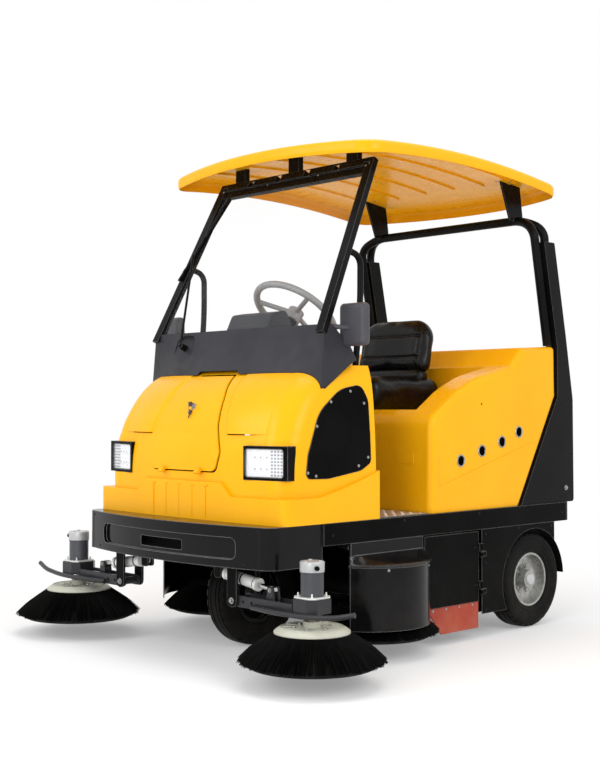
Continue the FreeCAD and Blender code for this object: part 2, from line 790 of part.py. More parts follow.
# Wheels
def front_fork():
    half = FORK_GAP + FORK_PLATE
    crown = plan_prism([(half, FRONT_WHEEL_Y - FORK_TOP_HALF, FORK_PLATE),
                        (half, FRONT_WHEEL_Y + FORK_TOP_HALF, FORK_PLATE),
                        (-half, FRONT_WHEEL_Y + FORK_TOP_HALF, FORK_PLATE),
                        (-half, FRONT_WHEEL_Y - FORK_TOP_HALF, FORK_PLATE)], CROWN_BOTTOM, CROWN_TOP)
    low = WHEEL_RADIUS - FORK_BELOW_AXLE
    leg = side_prism([(FRONT_WHEEL_Y - FORK_FOOT_HALF, low, FORK_FOOT_HALF - OVER),
                      (FRONT_WHEEL_Y + FORK_FOOT_HALF, low, FORK_FOOT_HALF - OVER),
                      (FRONT_WHEEL_Y + FORK_TOP_HALF - FORK_PLATE, CROWN_BOTTOM),
                      (FRONT_WHEEL_Y - FORK_TOP_HALF + FORK_PLATE, CROWN_BOTTOM)], FORK_GAP, half)
    end = half + AXLE_NUT
    collar = shaft_x(FRONT_AXLE_RADIUS + COLLAR, FRONT_HUB_HALF + GAP, FORK_GAP, FRONT_WHEEL_Y, WHEEL_RADIUS)
    pieces = [disc((0, FRONT_WHEEL_Y), KINGPIN_RADIUS, CROWN_BOTTOM, RAIL_TOP), crown, leg, mirrored(leg),
              shaft_x(FRONT_AXLE_RADIUS, -end, end, FRONT_WHEEL_Y, WHEEL_RADIUS), collar, mirrored(collar)]
    return fused(pieces)


def tyre(base):
    half = TYRE_WIDTH / 2
    edge = half - TYRE_BEAD_INSET
    tread = half - SHOULDER_RUN
    shoulder = WHEEL_RADIUS - SHOULDER_DROP
    profile = [(TYRE_BEAD, -edge), (shoulder, -half), (WHEEL_RADIUS, -tread), (WHEEL_RADIUS, tread),
               (shoulder, half), (TYRE_BEAD, edge)]
    return revolved(profile, base, X_AXIS)


def rim(base, bore, hub_half):
    """Pressed rim: a flanged band, and a web dished towards the outer side."""
    seat = TYRE_BEAD - GAP
    inner = seat - RIM_WALL
    edge = TYRE_WIDTH / 2 - TYRE_BEAD_INSET - OVER
    lip = seat - RIM_LIP
    web_back = WEB_OUT - WEB_THICK
    profile = [
        (bore, -hub_half), (HUB_RADIUS, -hub_half), (HUB_RADIUS, -WEB_THICK), (DISH_RADIUS, web_back),
        (inner, web_back), (inner, -edge + RIM_WALL), (lip, -edge), (seat, -edge),
        (seat, edge), (lip, edge), (inner, edge - RIM_WALL), (inner, WEB_OUT),
        (DISH_RADIUS, WEB_OUT), (HUB_RADIUS, 0), (HUB_RADIUS, hub_half), (bore, hub_half),
    ]
    return revolved(profile, base, X_AXIS)


def rear_axle():
    pieces = [
        shaft_x(BEAM_RADIUS, -BEAM_END, BEAM_END, REAR_WHEEL_Y, WHEEL_RADIUS),
        shaft_x(REAR_AXLE_RADIUS, -STUB_END, STUB_END, REAR_WHEEL_Y, WHEEL_RADIUS),
        Part.makeCylinder(DRIVE_MOTOR_RADIUS, DRIVE_MOTOR_END, V(0, REAR_WHEEL_Y, WHEEL_RADIUS), V(0, -1, 0)),
    ]
    drive = shaft_x(DRIVE_RADIUS, -DRIVE_HALF, DRIVE_HALF, REAR_WHEEL_Y, WHEEL_RADIUS)
    pieces.append(drive.makeChamfer(DRIVE_CHAMFER, drive.Edges))
    hanger = box(RAIL_X - HANGER_PLATE, RAIL_X, REAR_WHEEL_Y - HANGER_HALF, REAR_WHEEL_Y + HANGER_HALF,
                 WHEEL_RADIUS, RAIL_BOTTOM)
    return fused(pieces + [hanger, mirrored(hanger)])


# Front brushes
ARM_LOW = ARM_HINGE_Z - ARM_HEIGHT / 2
ARM_HIGH = ARM_HINGE_Z + ARM_HEIGHT / 2
ARM_FRONT = BRUSH_Y - ARM_HALF
ARM_BACK = BRUSH_Y + ARM_HALF


def bevelled_block(half, bevel, z0, z1):
    """A square block with bevelled upright edges round a front brush's axis."""
    near = half - bevel
    outline = [(half, near), (near, half), (-near, half), (-half, near), (-half, -near), (-near, -half),
               (near, -half), (half, -near)]
    return plan_prism([(BRUSH_X + x, BRUSH_Y + y) for x, y in outline], z0, z1)


def clevis_ear(y):
    """One cheek of the actuator's clevis, standing on the arm's floor."""
    top = CLEVIS_Z + CLEVIS_TOP
    outline = [(CLEVIS_X - CLEVIS_FOOT, ARM_LOW), (CLEVIS_X + CLEVIS_FOOT, ARM_LOW),
               (CLEVIS_X + CLEVIS_TOP, top, CLEVIS_TOP / 2), (CLEVIS_X - CLEVIS_TOP, top, CLEVIS_TOP / 2)]
    return front_prism(outline, y, y + ARM_PLATE)


def brush_guard():
    """Bar that sweeps over the brush in front of its gearbox."""
    y = BRUSH_Y - GEARBOX_HALF - GUARD_RADIUS + OVER
    start = V(GUARD_FROM_X, ARM_FRONT - GUARD_RADIUS + OVER, GUARD_Z)
    return tube([start] + [V(x, y + back, GUARD_Z + up) for x, back, up in GUARD_PATH], GUARD_RADIUS)


def brush_arm():
    """Arm from its hinge to the gearbox, with the actuator's clevis and the guard bar."""
    end = BRUSH_X - GEARBOX_HALF
    head = ARM_HINGE_X - ARM_HEIGHT / 2
    turn = ARM_HEIGHT / 2 - OVER
    outline = [(head, ARM_LOW, turn), (end, ARM_LOW), (end, ARM_HIGH), (head, ARM_HIGH, turn)]
    pieces = [front_prism(outline, y, y + ARM_PLATE) for y in (ARM_FRONT, ARM_BACK - ARM_PLATE)]
    pieces.append(box(ARM_HINGE_X + ARM_FLOOR_FROM, end, ARM_FRONT, ARM_BACK, ARM_LOW, ARM_LOW + ARM_PLATE))
    pieces.append(shaft_y(ARM_PIN_RADIUS + ARM_HUB, ARM_HINGE_X, ARM_FRONT, ARM_BACK, ARM_HINGE_Z))
    pieces.append(bevelled_block(GEARBOX_HALF, GEARBOX_BEVEL, GEARBOX_BOTTOM, GEARBOX_TOP))
    inner = EYE_WIDTH / 2 + CLEVIS_PLAY
    outer = inner + ARM_PLATE
    pieces += [clevis_ear(y) for y in (BRUSH_Y - outer, BRUSH_Y + inner)]
    pieces.append(shaft_y(PIN_RADIUS, CLEVIS_X, BRUSH_Y - outer, BRUSH_Y + outer, CLEVIS_Z))
    pieces.append(brush_guard())
    body = fused(pieces)
    body = body.cut(shaft_y(ARM_PIN_RADIUS + RUN, ARM_HINGE_X, ARM_FRONT - OVER, ARM_BACK + OVER, ARM_HINGE_Z))
    for x in ARM_HOLES:
        body = body.cut(shaft_y(ARM_HOLE_RADIUS, x, ARM_FRONT - OVER, ARM_FRONT + ARM_PLATE + OVER, ARM_HINGE_Z))
    return body.cut(disc((BRUSH_X, BRUSH_Y), SHAFT_RADIUS + RUN, GEARBOX_BOTTOM - OVER, GEARBOX_TOP + OVER))


ACTUATOR_PIVOT = V(ACTUATOR_X, BRUSH_Y, ACTUATOR_Z)
CLEVIS = V(CLEVIS_X, BRUSH_Y, CLEVIS_Z)
ACTUATOR_RUN = (CLEVIS - ACTUATOR_PIVOT).normalize()


def eye(centre):
    return shaft_y(EYE_RADIUS, centre.x, centre.y - EYE_WIDTH / 2, centre.y + EYE_WIDTH / 2, centre.z)


def eye_bore(centre, radius):
    return shaft_y(radius, centre.x, centre.y - ACTUATOR_RADIUS, centre.y + ACTUATOR_RADIUS, centre.z)


def actuator_body():
    """Actuator tube with a collar at each end and the eye of its pivot."""
    start = ACTUATOR_PIVOT + ACTUATOR_RUN * ACTUATOR_NECK
    end = ACTUATOR_PIVOT + ACTUATOR_RUN * ACTUATOR_BODY
    collar = ACTUATOR_RUN * EYE_RADIUS
    pieces = [bar(start, end, ACTUATOR_RADIUS), bar(ACTUATOR_PIVOT, start, EYE_WIDTH / 2), eye(ACTUATOR_PIVOT),
              bar(start, start + collar, ACTUATOR_RADIUS + ACTUATOR_BAND),
              bar(end - collar, end, ACTUATOR_RADIUS + ACTUATOR_BAND)]
    slot = bar(ACTUATOR_PIVOT + ACTUATOR_RUN * ACTUATOR_FLOOR, CLEVIS, ROD_RADIUS + RUN)
    return fused(pieces).cut(eye_bore(ACTUATOR_PIVOT, PIN_RADIUS + RUN)).cut(slot)


def actuator_rod():
    rod = bar(ACTUATOR_PIVOT + ACTUATOR_RUN * ROD_FROM, CLEVIS, ROD_RADIUS)
    return rod.fuse(eye(CLEVIS)).cut(eye_bore(CLEVIS, PIN_RADIUS + EYE_PLAY))


def brush_motor():
    """Motor on its bevelled flange, under a cap with a cable hole."""
    axis = (BRUSH_X, BRUSH_Y)
    cap = disc(axis, MOTOR_RADIUS + CAP_RIB, MOTOR_TOP, CAP_TOP)
    top_edges = [edge for edge in cap.Edges if edge.CenterOfMass.z > CAP_TOP - OVER]
    cap = cap.makeChamfer(CAP_CHAMFER, top_edges)
    hole = shaft_x(CAP_HOLE, BRUSH_X, BRUSH_X + FLANGE_HALF, BRUSH_Y, (MOTOR_TOP + CAP_TOP) / 2)
    flange = bevelled_block(FLANGE_HALF, FLANGE_BEVEL, GEARBOX_TOP, GEARBOX_TOP + MOTOR_FLANGE)
    return fused([disc(axis, MOTOR_RADIUS, GEARBOX_TOP, MOTOR_TOP), cap.cut(hole), flange])


def brush_disc(x, y, shaft_top):
    """Moulded disc with a rounded shoulder, its hub and the shaft."""
    profile = [(0, DISC_BOTTOM), (DISC_RADIUS, DISC_BOTTOM), (DISC_RADIUS, DISC_SHOULDER, DISC_EDGE_ROUND),
               (DISC_CROWN, DISC_TOP, DISC_CROWN_ROUND),
               (HUB_DISC, DISC_TOP), (HUB_DISC, DISC_TOP + HUB_RISE), (SHAFT_RADIUS, DISC_TOP + HUB_RISE),
               (SHAFT_RADIUS, shaft_top), (0, shaft_top)]
    return revolved(profile, V(x, y, 0), Z_AXIS)


def bristles(x, y):
    profile = [
        (BRISTLE_ROOT - BRISTLE_BAND, DISC_BOTTOM), (BRISTLE_ROOT, DISC_BOTTOM), (BRUSH_TIP_RADIUS, BRUSH_TIP_HIGH),
        (BRUSH_TIP_RADIUS - TIP_BEVEL, BRUSH_TIP_Z), (BRUSH_TIP_RADIUS - TIP_BAND, BRUSH_TIP_Z),
    ]
    return revolved(profile, V(x, y, 0), Z_AXIS)


# Mid brushes
def mid_brush_mount():
    """Motor plate hung from the rail over the mid brush."""
    inner = MID_X - MID_PLATE_INNER
    plate = box(inner, MID_X + MID_PLATE_HALF, MID_Y - MID_PLATE_HALF, MID_Y + MID_PLATE_HALF, GEARBOX_BOTTOM,
                GEARBOX_BOTTOM + ARM_PLATE)
    motor = disc((MID_X, MID_Y), MOTOR_RADIUS, GEARBOX_BOTTOM + ARM_PLATE, CAP_TOP)
    slider = box(MID_SLIDE_X, inner + OVER, MID_Y - MID_SLIDE_HALF, MID_Y + MID_SLIDE_HALF, GEARBOX_BOTTOM, CAP_TOP)
    bore = disc((MID_X, MID_Y), SHAFT_RADIUS + RUN, GEARBOX_BOTTOM - OVER, GEARBOX_TOP)
    return fused([plate, motor, slider]).cut(bore)


SHROUD_INNER_X = SIDE_X - SHROUD_BACK


def shroud_edge(side_x, rear_x, z):
    """D-shaped wire of the shroud: the chord beside the deck, a flat rear end and the round side."""
    front = SHROUD_Y - math.sqrt(SHROUD_RADIUS ** 2 - (SHROUD_INNER_X - MID_X) ** 2)
    near = V(SHROUD_INNER_X, front, z)
    inner = V(SHROUD_INNER_X, SHROUD_REAR, z)
    outer = V(rear_x, SHROUD_REAR, z)
    return Part.Wire([line(near, inner), line(inner, outer), arc(outer, V(side_x, SHROUD_Y, z), near)])


def shroud_lid():
    """Sloped top between the drum's rim and the straight ridge at the deck."""
    end = MID_X + math.sqrt(SHROUD_RADIUS ** 2 - (SHROUD_REAR - SHROUD_Y) ** 2)
    rim = shroud_edge(MID_X + SHROUD_RADIUS, end, SHROUD_RIM)
    ridge = shroud_edge(SHROUD_INNER_X + 2 * SHROUD_RIDGE, SHROUD_INNER_X + SHROUD_RIDGE, SHROUD_TOP)
    solid = Part.makeLoft([rim, ridge], True, True)
    return solid.cut(solid.translated(V(0, 0, -SHEET)))


def shroud():
    """Half drum with a sloped lid that covers the mid brush outside the platform's edge."""
    axis = (MID_X, SHROUD_Y)
    keep = box(SHROUD_INNER_X, MID_X + SHROUD_RADIUS + SHROUD_LIP, SHROUD_Y - SHROUD_RADIUS, SHROUD_REAR,
               SHROUD_BOTTOM, SHROUD_TOP)
    drum = disc(axis, SHROUD_RADIUS, SHROUD_BOTTOM, SHROUD_RIM)
    drum = drum.cut(disc(axis, SHROUD_RADIUS - SHEET, SHROUD_BOTTOM - OVER, SHROUD_RIM + OVER)).common(keep)
    lip = Part.makeTorus(SHROUD_RADIUS, SHROUD_LIP, V(MID_X, SHROUD_Y, SHROUD_RIM - SHROUD_LIP), Z_AXIS).common(keep)
    chord = math.sqrt(SHROUD_RADIUS ** 2 - (SIDE_X - MID_X) ** 2)
    back = box(SHROUD_INNER_X, SIDE_X, SHROUD_Y - chord, SHROUD_REAR, SHROUD_TOP - SHEET, FASCIA_BOTTOM)
    end = box(SHROUD_INNER_X, MID_X + SHROUD_RADIUS, SHROUD_REAR - SHEET, SHROUD_REAR, SHROUD_BOTTOM, SHROUD_RIM)
    return fused([drum, shroud_lid(), lip, back, end.common(disc(axis, SHROUD_RADIUS, SHROUD_BOTTOM, SHROUD_RIM))])


# Main roller
def roller():
    core = shaft_x(ROLLER_RADIUS, -ROLLER_HALF, ROLLER_HALF, ROLLER_Y, ROLLER_Z)
    end = HOUSING_HALF + SHEET
    return core.fuse(shaft_x(ROLLER_SHAFT, -end, end, ROLLER_Y, ROLLER_Z))


def roller_housing():
    inner = ROLLER_RADIUS + ROLLER_ROOM
    outer = inner + SHEET
    hood = shaft_x(outer, -HOUSING_HALF, HOUSING_HALF, ROLLER_Y, ROLLER_Z)
    hood = hood.cut(shaft_x(inner, -HOUSING_HALF, HOUSING_HALF, ROLLER_Y, ROLLER_Z))
    hood = hood.common(box(-HOUSING_HALF, HOUSING_HALF, ROLLER_Y - outer, ROLLER_Y + outer, ROLLER_Z, RAIL_BOTTOM))
    cheek = box(HOUSING_HALF, HOUSING_HALF + SHEET, HOUSING_FRONT, HOUSING_REAR, HOUSING_BOTTOM, RAIL_BOTTOM)
    flange = box(HOUSING_HALF, RAIL_X, HOUSING_FRONT, HOUSING_REAR, RAIL_BOTTOM - SHEET, RAIL_BOTTOM)
    body = fused([hood, cheek, mirrored(cheek), flange, mirrored(flange)])
    return body.cut(shaft_x(ROLLER_SHAFT + RUN, -RAIL_X, RAIL_X, ROLLER_Y, ROLLER_Z))


# Side doors, flaps and arch panels
HINGE_AXIS = (SIDE_X + HINGE_RADIUS, HINGE_Y)


def side_door():
    skin = box(SIDE_X, SIDE_X + SHEET, DOOR_FRONT, DOOR_REAR, DOOR_BOTTOM, DOOR_TOP)
    frame = box(SIDE_X - DOOR_RIM, SIDE_X, DOOR_FRONT, DOOR_REAR, DOOR_BOTTOM, DOOR_TOP)
    frame = frame.cut(box(SIDE_X - DOOR_RIM, SIDE_X, DOOR_FRONT + SHEET, DOOR_REAR - SHEET, DOOR_BOTTOM + SHEET,
                          DOOR_TOP - SHEET))
    pieces = [skin, frame]
    for z in HINGE_HEIGHTS:
        pieces.append(box(SIDE_X, SIDE_X + SHEET, DOOR_REAR, HINGE_Y, z, z + HINGE_LENGTH))
        pieces.append(disc(HINGE_AXIS, HINGE_RADIUS, z, z + HINGE_LENGTH))
    return fused(pieces).cut(disc(HINGE_AXIS, HINGE_PIN + RUN, DOOR_BOTTOM, DOOR_TOP))


def door_flap():
    top = DOOR_BOTTOM - GAP
    return side_prism([(FLAP_FRONT, top), (DOOR_REAR, top), (DOOR_REAR, FLAP_BOTTOM),
                       (FLAP_FRONT + FLAP_SLANT, FLAP_BOTTOM)], SIDE_X - FLAP_THICK, SIDE_X)


def wheel_arch():
    outline = [(ARCH_FRONT, ARCH_BOTTOM), (ARCH_FRONT + ARCH_FOOT, ARCH_BOTTOM), (ARCH_REAR, ARCH_REAR_BOTTOM),
               (ARCH_REAR, FASCIA_BOTTOM), (ARCH_FRONT, FASCIA_BOTTOM)]
    sheet = side_prism(outline, SIDE_X - SHEET, SIDE_X)
    pieces = [sheet.cut(shaft_x(WHEEL_RADIUS + ARCH_GAP, RAIL_X, SIDE_X + OVER, REAR_WHEEL_Y, WHEEL_RADIUS))]
    for z in HINGE_HEIGHTS:
        low = z - KNUCKLE_DROP
        high = low + KNUCKLE_LENGTH
        pieces.append(box(SIDE_X, SIDE_X + SHEET, HINGE_Y, ARCH_FRONT + LEAF_REACH, low, high))
        pieces.append(disc(HINGE_AXIS, HINGE_RADIUS, low, high))
        pieces.append(disc(HINGE_AXIS, HINGE_PIN, low, high + HINGE_LENGTH))
    return fused(pieces)


# Front bumper
def bumper_block(inset, z0, z1):
    half = BUMPER_HALF - inset
    corner_y = BUMPER_CORNER_Y + inset
    turn = BUMPER_TURN - inset
    drop = turn * ROUND_CUT
    slant = V(half - turn, corner_y, z0)
    start = V(half, corner_y + turn, z0)
    middle = V(half - drop, corner_y + drop, z0)
    rear = V(half, DECK_FRONT, z0)
    edges = [
        line(rear, start),
        arc(start, middle, slant),
        arc(slant, V(0, BUMPER_NOSE + inset, z0), flipped(slant)),
        arc(flipped(slant), flipped(middle), flipped(start)),
        line(flipped(start), flipped(rear)),
        line(flipped(rear), rear),
    ]
    return Part.Face(Part.Wire(edges)).extrude(V(0, 0, z1 - z0))


def recess_window(margin):
    """Region of the long recess under the bumper's top lip."""
    half = RECESS_HALF_LOW + margin
    turn = (RECESS_TO - RECESS_FROM) / 3
    return front_prism([(half, RECESS_FROM - margin, turn), (half, RECESS_TO + margin, turn),
                        (-half, RECESS_TO + margin, turn), (-half, RECESS_FROM - margin, turn)],
                       BUMPER_NOSE - FREE, DECK_FRONT)


def front_bumper():
    outer = bumper_block(0, BUMPER_BOTTOM, DECK_TOP)
    dent = outer.cut(bumper_block(BUMPER_RECESS, BUMPER_BOTTOM, DECK_TOP)).common(recess_window(0))
    inner = bumper_block(MOULD, BUMPER_BOTTOM - OVER, RAIL_TOP)
    deep = bumper_block(BUMPER_RECESS + MOULD, BUMPER_BOTTOM - OVER, RAIL_TOP)
    window = recess_window(MOULD)
    void = inner.cut(window).fuse(deep.common(window))
    slot = front_prism([(SLOT_HALF, SLOT_BOTTOM, SLOT_CORNER), (SLOT_HALF, SLOT_TOP, SLOT_CORNER),
                        (-SLOT_HALF, SLOT_TOP, SLOT_CORNER), (-SLOT_HALF, SLOT_BOTTOM, SLOT_CORNER)],
                       BUMPER_NOSE - OVER, BUMPER_CORNER_Y)
    return outer.cut(dent).cut(void).cut(slot)


# Front shell
def section_wire(section, inset, bulge):
    """One level of the shell: straight sides, round corners and a bowed front, with or without the bulges."""
    z, half_rear, half_front, corner_y, nose = section
    half = half_front - inset
    corner = corner_y + inset
    depth = nose + inset - corner
    rear = V(half_rear - inset, SHELL_REAR, z)
    side = V(half, corner, z)
    turn = V(half * CORNER_TURN[0], corner + depth * CORNER_TURN[1], z)
    front = V(half * CORNER_END[0], corner + depth * CORNER_END[1], z)
    middle = V(0, nose + inset, z)
    if not bulge:
        edges = [line(rear, side), arc(side, turn, front), arc(front, middle, flipped(front)),
                 arc(flipped(front), flipped(turn), flipped(side)), line(flipped(side), flipped(rear)),
                 line(flipped(rear), rear)]
        return Part.Wire(edges)
    bow = arc(front, middle, flipped(front)).Curve
    step = BULGE_FROM - BULGE_LEAN * (z - UPPER_SECTIONS[0][0]) / (SHELL_TOP - UPPER_SECTIONS[0][0])
    foot_x = step - BULGE_WIDTH
    radius = bow.Radius
    centre_y = bow.Center.y
    foot = V(foot_x, centre_y - math.sqrt(radius ** 2 - foot_x ** 2), z)
    top = V(step, centre_y - math.sqrt(radius ** 2 - step ** 2) - BULGE_STEP, z)
    swell_x = (step + front.x) / 2
    swell = V(swell_x, centre_y - math.sqrt(radius ** 2 - swell_x ** 2) - BULGE_STEP * BULGE_FADE, z)
    edges = [line(rear, side), arc(side, turn, front), arc(front, swell, top), line(top, foot),
             arc(foot, middle, flipped(foot)), line(flipped(foot), flipped(top)),
             arc(flipped(top), flipped(swell), flipped(front)), arc(flipped(front), flipped(turn), flipped(side)),
             line(flipped(side), flipped(rear)), line(flipped(rear), rear)]
    return Part.Wire(edges)


def shell_body(inset, drop):
    """Main form of the shell, set in by the wall and lowered under its top."""
    lower = [section_wire(section, inset, False) for section in LOWER_SECTIONS]
    upper = [section_wire(section, inset, True) for section in UPPER_SECTIONS]
    body = Part.makeLoft(lower, True, False).fuse(Part.makeLoft(upper, True, False))
    body.translate(V(0, 0, -drop))
    return body


def skirt_block(inset):
    """Foot of the shell, which rises towards the rear and steps up under the access door."""
    half = SKIRT_HALF - inset
    corner = V(SKIRT_CORNER_X - inset, SKIRT_CORNER_Y + inset, DECK_TOP)
    round_off = half - corner.x
    turn = V(half - ROUND_CUT * round_off, corner.y + ROUND_CUT * round_off, DECK_TOP)
    side = V(half, corner.y + round_off, DECK_TOP)
    rear = V(half, SKIRT_REAR, DECK_TOP)
    nose = V(0, SKIRT_NOSE + inset, DECK_TOP)
    edges = [line(rear, side), arc(side, turn, corner), arc(corner, nose, flipped(corner)),
             arc(flipped(corner), flipped(turn), flipped(side)), line(flipped(side), flipped(rear)),
             line(flipped(rear), rear)]
    plan = Part.Face(Part.Wire(edges)).extrude(V(0, 0, SKIRT_RISE - DECK_TOP))
    ledge = SKIRT_LEDGE - inset
    front = SKIRT_NOSE - FREE
    start = V(0, SKIRT_RISE_FROM, ledge)
    middle = V(0, SKIRT_RISE_MID[0], SKIRT_RISE_MID[1] - inset)
    top = V(0, SKIRT_REAR, SKIRT_RISE - inset)
    foot = V(0, front, DECK_TOP)
    heel = V(0, SKIRT_REAR, DECK_TOP)
    brow = V(0, front, ledge)
    outline = Part.Wire([line(foot, heel), line(heel, top), arc(top, middle, start), line(start, brow),
                         line(brow, foot)])
    profile = Part.Face(outline)
    profile.translate(V(-FAR / 2, 0, 0))
    sweep = profile.extrude(V(FAR, 0, 0))
    raised = STEP_TOP - inset
    step = front_prism([(-STEP_FOOT, ledge - OVER), (STEP_FOOT, ledge - OVER), (STEP_HALF, raised, FREE),
                        (-STEP_HALF, raised, FREE)], front, SKIRT_CORNER_Y + 2 * BULGE_WIDTH)
    return plan.common(sweep.fuse(step))


def door_region(margin):
    """Prism through the access door's outline."""
    left = [(x + margin, z + (margin if z > SHELL_TOP - RAIL_WIDTH else 0) - (margin if index == 0 else 0), r)
            for index, (x, z, r) in enumerate(DOOR_OUTLINE)]
    right = [(-x, z, r) for x, z, r in reversed(left)]
    return front_prism(left + right, DOOR_PIN_Y - FREE, UPPER_SECTIONS[3][3])


SHELL_OUTER = shell_body(0, 0).fuse(skirt_block(0)).removeSplitter()
SHELL_INNER = shell_body(MOULD, MOULD).fuse(skirt_block(MOULD))


def shell_ribs():
    """Five raised T marks on the step under the access door."""
    front = SKIRT_NOSE - RIB_PROUD
    back = SKIRT_NOSE + MOULD
    ribs = []
    for index in range(RIB_COUNT):
        x = RIB_MIDDLE + (index - (RIB_COUNT - 1) / 2) * RIB_PITCH
        ribs.append(box(x - RIB_WIDTH / 2, x + RIB_WIDTH / 2, front, back, RIB_FOOT, RIB_TOP))
        ribs.append(box(x - RIB_BAR / 2, x + RIB_BAR / 2, front, back, RIB_TOP - RIB_WIDTH, RIB_TOP))
    return ribs


def lamp_placed(shape):
    shape.rotate(V(), Z_AXIS, LAMP_TURN)
    shape.translate(V(LAMP_X, LAMP_Y, 0))
    return shape


def lamp_block(margin, y0, y1):
    half = LAMP_HALF_WIDTH + margin
    return box(-half, half, y0, y1, LAMP_BOTTOM - margin, LAMP_TOP + margin)


LAMP_SEAT = lamp_placed(lamp_block(GAP, -FAR / 4, LAMP_BEHIND))


def column_passage():
    return bar(STEER_HUB - STEER_AXIS * COLUMN_LENGTH, STEER_HUB - STEER_AXIS * STEER_BOSS_DROP, COLUMN_RADIUS + GAP)


def front_shell():
    """Hollow shell, open below and behind, with the door's opening and the lamps' seats."""
    skin = SHELL_OUTER.cut(SHELL_INNER)
    half = UPPER_SECTIONS[-1][1] - 2 * MOULD
    doorway = box(-half, half, SHELL_REAR - MOULD, SKIRT_REAR + OVER, DECK_TOP, SHELL_TOP - 2 * MOULD)
    skin = skin.cut(doorway).cut(column_passage()).cut(door_region(SWING))
    skin = skin.cut(LAMP_SEAT).cut(mirrored(LAMP_SEAT))
    pieces = [skin] + shell_ribs()
    for x in DOOR_HINGES:
        near = x - DOOR_KNUCKLE_HALF - GAP
        pieces.append(box(near - DOOR_EAR, near, DOOR_PIN_Y - DOOR_PIN - 2, LOWER_SECTIONS[2][4] + 2,
                          DOOR_PIN_Z - FREE, DOOR_PIN_Z + DOOR_PIN))
        pieces.append(shaft_x(DOOR_PIN, near - DOOR_EAR, x + DOOR_KNUCKLE_HALF, DOOR_PIN_Y, DOOR_PIN_Z))
    return fused(pieces)


def access_door():
    """Proud moulded door, hinged at its foot."""
    proud = shell_body(-DOOR_PROUD, 0)
    pieces = [proud.common(door_region(0)).cut(shell_body(OVER, OVER))]
    for x in DOOR_HINGES:
        low = x - DOOR_KNUCKLE_HALF
        high = x + DOOR_KNUCKLE_HALF
        pieces.append(shaft_x(DOOR_KNUCKLE, low, high, DOOR_PIN_Y, DOOR_PIN_Z))
        pieces.append(box(low, high, DOOR_PIN_Y - DOOR_PIN, LOWER_SECTIONS[2][4] - DOOR_PROUD + 2,
                          DOOR_PIN_Z + DOOR_PIN, DOOR_PIN_Z + DOOR_LEAF))
    body = fused(pieces)
    for x in DOOR_HINGES:
        reach = DOOR_KNUCKLE_HALF + OVER
        body = body.cut(shaft_x(DOOR_PIN + RUN, x - reach, x + reach, DOOR_PIN_Y, DOOR_PIN_Z))
    return body


def side_panel():
    return shell_body(-SHEET, 0).common(side_prism(SIDE_PANEL, RAIL_X, DECK_HALF + FREE)).cut(SHELL_OUTER)


def headlamp():
    """Bezel with its window, and the lens that fills it."""
    bezel = lamp_block(0, -LAMP_PROUD, LAMP_BEHIND)
    low = LAMP_BOTTOM + LAMP_EDGE_RIM
    high = LAMP_TOP - LAMP_EDGE_RIM
    left = LAMP_INNER_RIM - LAMP_HALF_WIDTH
    right = LAMP_HALF_WIDTH - LAMP_OUTER_RIM
    window = [(left, low, LENS_CORNER), (right, low, LENS_CORNER), (right, high, LENS_CORNER),
              (left, high, LENS_CORNER)]
    back = LENS_SET_IN + LENS_THICK - LAMP_PROUD
    bezel = bezel.cut(front_prism(window, -LAMP_PROUD - OVER, back))
    lens = front_prism(window, LENS_SET_IN - LAMP_PROUD, back)
    return lamp_placed(bezel).cut(SHELL_OUTER.cut(LAMP_SEAT)), lamp_placed(lens)


# Windscreen
def on_screen(shape):
    """Carry a shape drawn flat (X, up, outward) onto the windscreen plane."""
    shape.rotate(V(), X_AXIS, SCREEN_ANGLE)
    shape.translate(V(0, SCREEN_BASE_Y, SCREEN_BASE_Z))
    return shape


def screen_block(inset, low, high, back, front):
    """Slab of the windscreen's tapering outline."""
    def half(height):
        return SCREEN_BASE_HALF + (SCREEN_HEAD_HALF - SCREEN_BASE_HALF) * height / SCREEN_LENGTH - inset
    return plan_prism([(half(low), low), (half(high), high), (-half(high), high), (-half(low), low)], back, front)


def cowl_block(inset, side):
    """Solid of the cowl: a straight top line and a bowed foot, cut to a side outline."""
    wires = []
    for z, bow in ((COWL_FOOT, COWL_BOW), (COWL_RIM, COWL_TOP_BOW)):
        nose = SCREEN_BASE_Y + (z - SCREEN_BASE_Z) * SCREEN_SLOPE + inset
        half = COWL_HALF - inset
        corner = V(half, nose + bow, z)
        rear = V(half, 0, z)
        wires.append(Part.Wire([line(rear, corner), arc(corner, V(0, nose, z), flipped(corner)),
                                line(flipped(corner), flipped(rear)), line(flipped(rear), rear)]))
    return Part.makeLoft(wires, True, True).common(side_prism(side, -COWL_HALF, COWL_HALF))


COWL_SOLID = cowl_block(0, COWL_SIDE)


def scoop(margin, depth):
    """Rounded pocket in the cowl's front round the wiper's pivot, on the windscreen plane."""
    half = SCOOP_HALF + margin
    turn = SCOOP_CORNER + margin
    low = WIPER_UP + SCOOP_LOW - margin
    high = WIPER_UP + SCOOP_HIGH + margin
    outline = [(WIPER_X - half, low, turn), (WIPER_X + half, low, turn), (WIPER_X + half, high, turn),
               (WIPER_X - half, high, turn)]
    return on_screen(plan_prism(outline, -depth, FREE))


